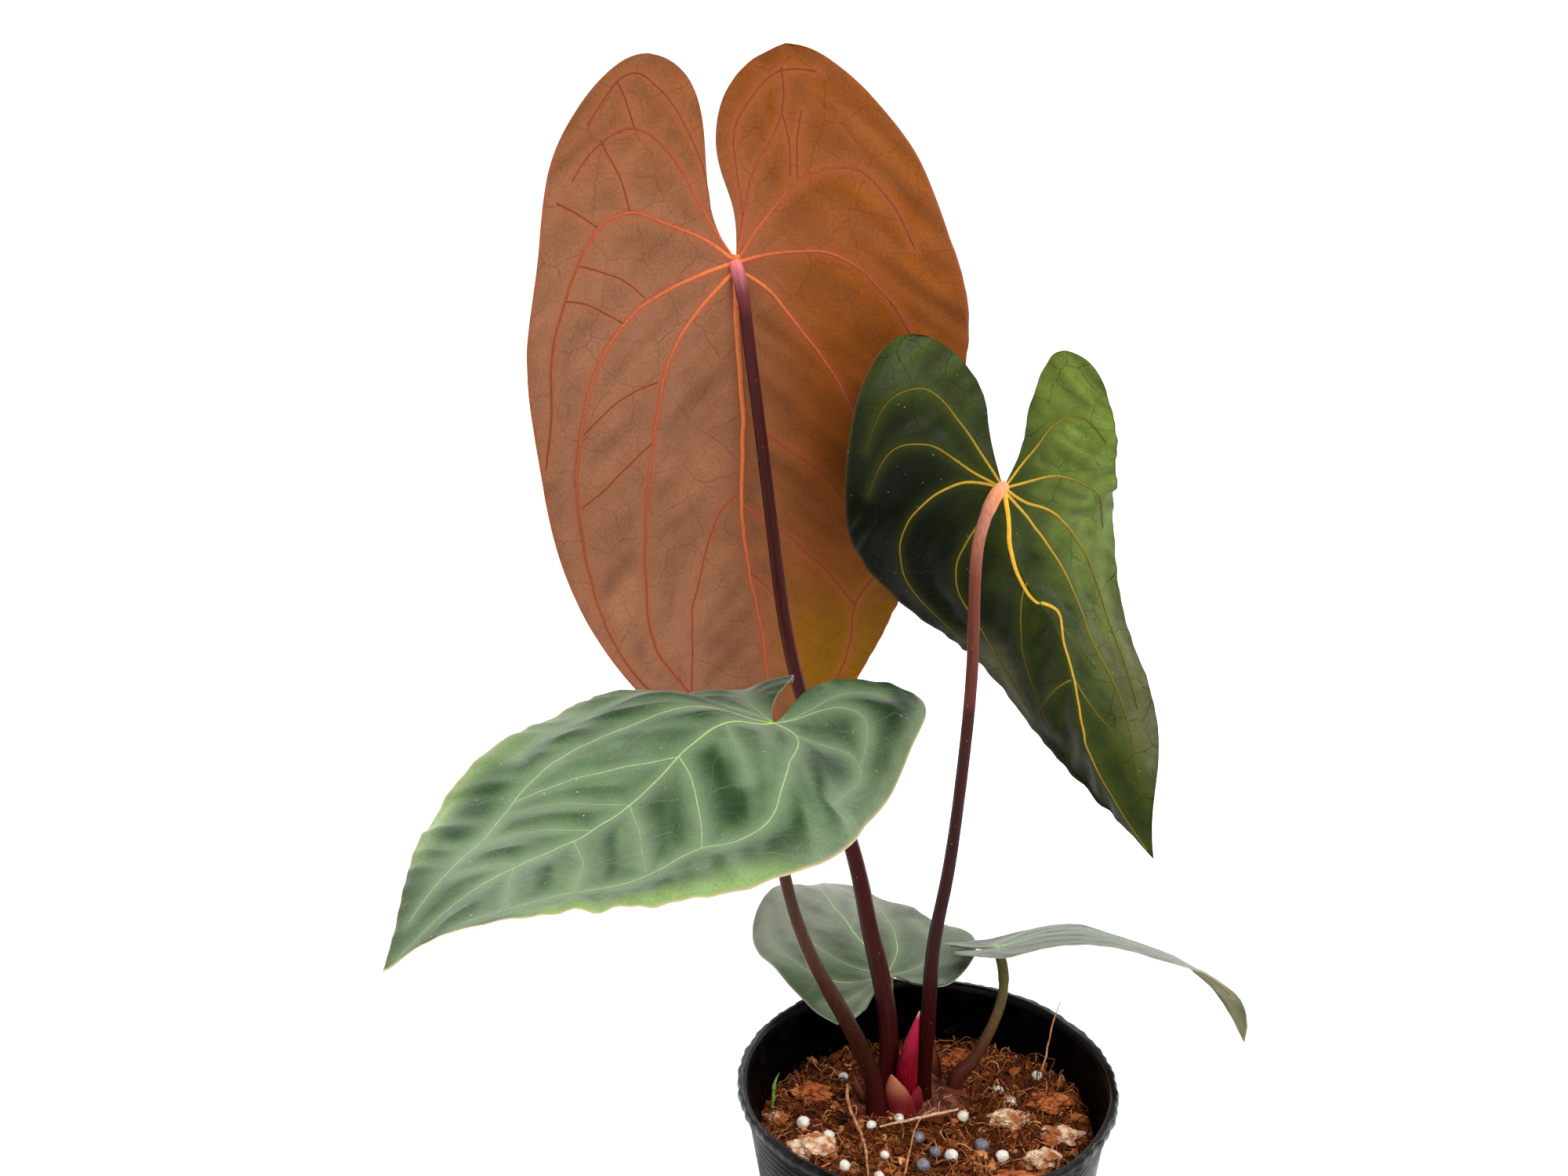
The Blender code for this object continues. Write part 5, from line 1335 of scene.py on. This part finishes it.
def low_upper(flat, away, shares):
    s, u = flat.T
    # Painted sheen: greyer further from the joint, where the velvet catches the light.
    painted_sheen = mixed(fade(s, 6, 42), (0.08, 0.115, 0.055), (0.18, 0.185, 0.145))
    tone = mixed(0.55 * fade(away, 1, 6), painted_sheen, (0.07, 0.105, 0.05))
    # Painted shade: the right lobe, curving under, is darkened.
    return mixed(0.8 * fade(-s, 2, 14) * fade(u, 2, 12), tone, (0.012, 0.03, 0.008))


def plain_under(flat, away, shares):
    return mixed(np.exp(-(away / VEIN_GLOW) ** 2), (0.13, 0.14, 0.07), (0.25, 0.22, 0.1))


young_faces = [
    face_finish("young_upper_face", 0.45, 0.15, net=((0.24, 0.29, 0.2), 0.18), glow=((0.9, 1.0, 0.5), 0.2),
                halo_tint=((0.2, 0.26, 0.15), 0.5), rim_and_highlight=(0.3, 0.32, 0.2), sheen=0.4, specks=0.4),
    face_finish("young_underside", 0.5, 0.14, net=((0.1, 0.08, 0.03), 0.5), glow=((0.9, 1.0, 0.4), 0.2),
                halo_tint=((0.25, 0.2, 0.08), 0.4), rim_and_highlight=(0.3, 0.2, 0.1)),
    vein_finish("young_upper_veins", [(0.1, (0.2, 0.26, 0.15)), (0.28, (0.3, 0.4, 0.2)),
                                      (0.5, (0.4, 0.55, 0.2))]),
    vein_finish("young_under_veins", [(0.1, (0.2, 0.16, 0.07)), (0.5, (0.4, 0.32, 0.14))]),
]
build_blade("low_leaf", LOW, vein_set(LOW_VEINS, "low"), young_faces,
            (low_upper, plain_under), 1.0, "green_leaf")

# The side leaf arches out to the right, narrow, with both halves curving down from its midrib.
SIDE = {
    "midrib": [(12, 28, 113), (22, 29, 113), (34, 30, 116), (47, 30, 117), (63, 30, 113),
               (79, 30, 106), (90, 30, 96), (96, 30, 81)],
    "joint": 1,
    "facing": [(0, 0.38, 1), (0, 0.38, 1), (0.3, 0.32, 1)],
    "fold": [(0, 0), (0, 0)],
    "cup": [(-10, -10), (-10, -10)],
    "left": ([(-5, -2), (-9, -3), (-13, -6)],
             [(-14, -9), (-10, -13), (0, -16), (16, -18), (32, -18), (48, -16), (64, -11), (80, -5)]),
    "right": ([(-5, 2), (-9, 3), (-13, 6)],
              [(-14, 9), (-10, 13), (0, 16), (16, 18), (32, 18), (48, 16), (64, 11), (80, 5)]),
    "length": 91,
}
SIDE_HALF_VEINS = [
    ([(0, 0), (-5, 3), (-9, 7)], 0.26, 0.12),
    ([(0, 0), (1, 7), (8, 12), (20, 14), (36, 14), (52, 11)], 0.3, 0.12),
    ([(1, 0), (10, 5), (22, 8), (38, 8), (56, 6), (72, 4)], 0.3, 0.12),
    ([(24, 0), (32, 4), (42, 7)], 0.18, 0.1),
]
side_routes = [([(0, 0), (30, 0), (60, 0), (89, 0)], 0.48, 0.15)]
for route, first, last in SIDE_HALF_VEINS:
    side_routes.append((route, first, last))
    side_routes.append(([(s, -u) for s, u in route], first, last))


def side_upper(flat, away, shares):
    s, u = flat.T
    # Painted sheen: the grey further out stands for the velvet seen nearly edge-on and catching the light.
    tone = mixed(fade(s, 10, 60), (0.035, 0.05, 0.025), (0.15, 0.14, 0.145))
    tone = mixed(0.5 * fade(away, 1, 5), tone, (0.06, 0.07, 0.045))
    return mixed(0.6 * fade(s, 72, 90), tone, (0.14, 0.19, 0.1))


build_blade("side_leaf", SIDE, vein_set(side_routes, "side"), young_faces,
            (side_upper, plain_under), 0.7, "green_leaf")
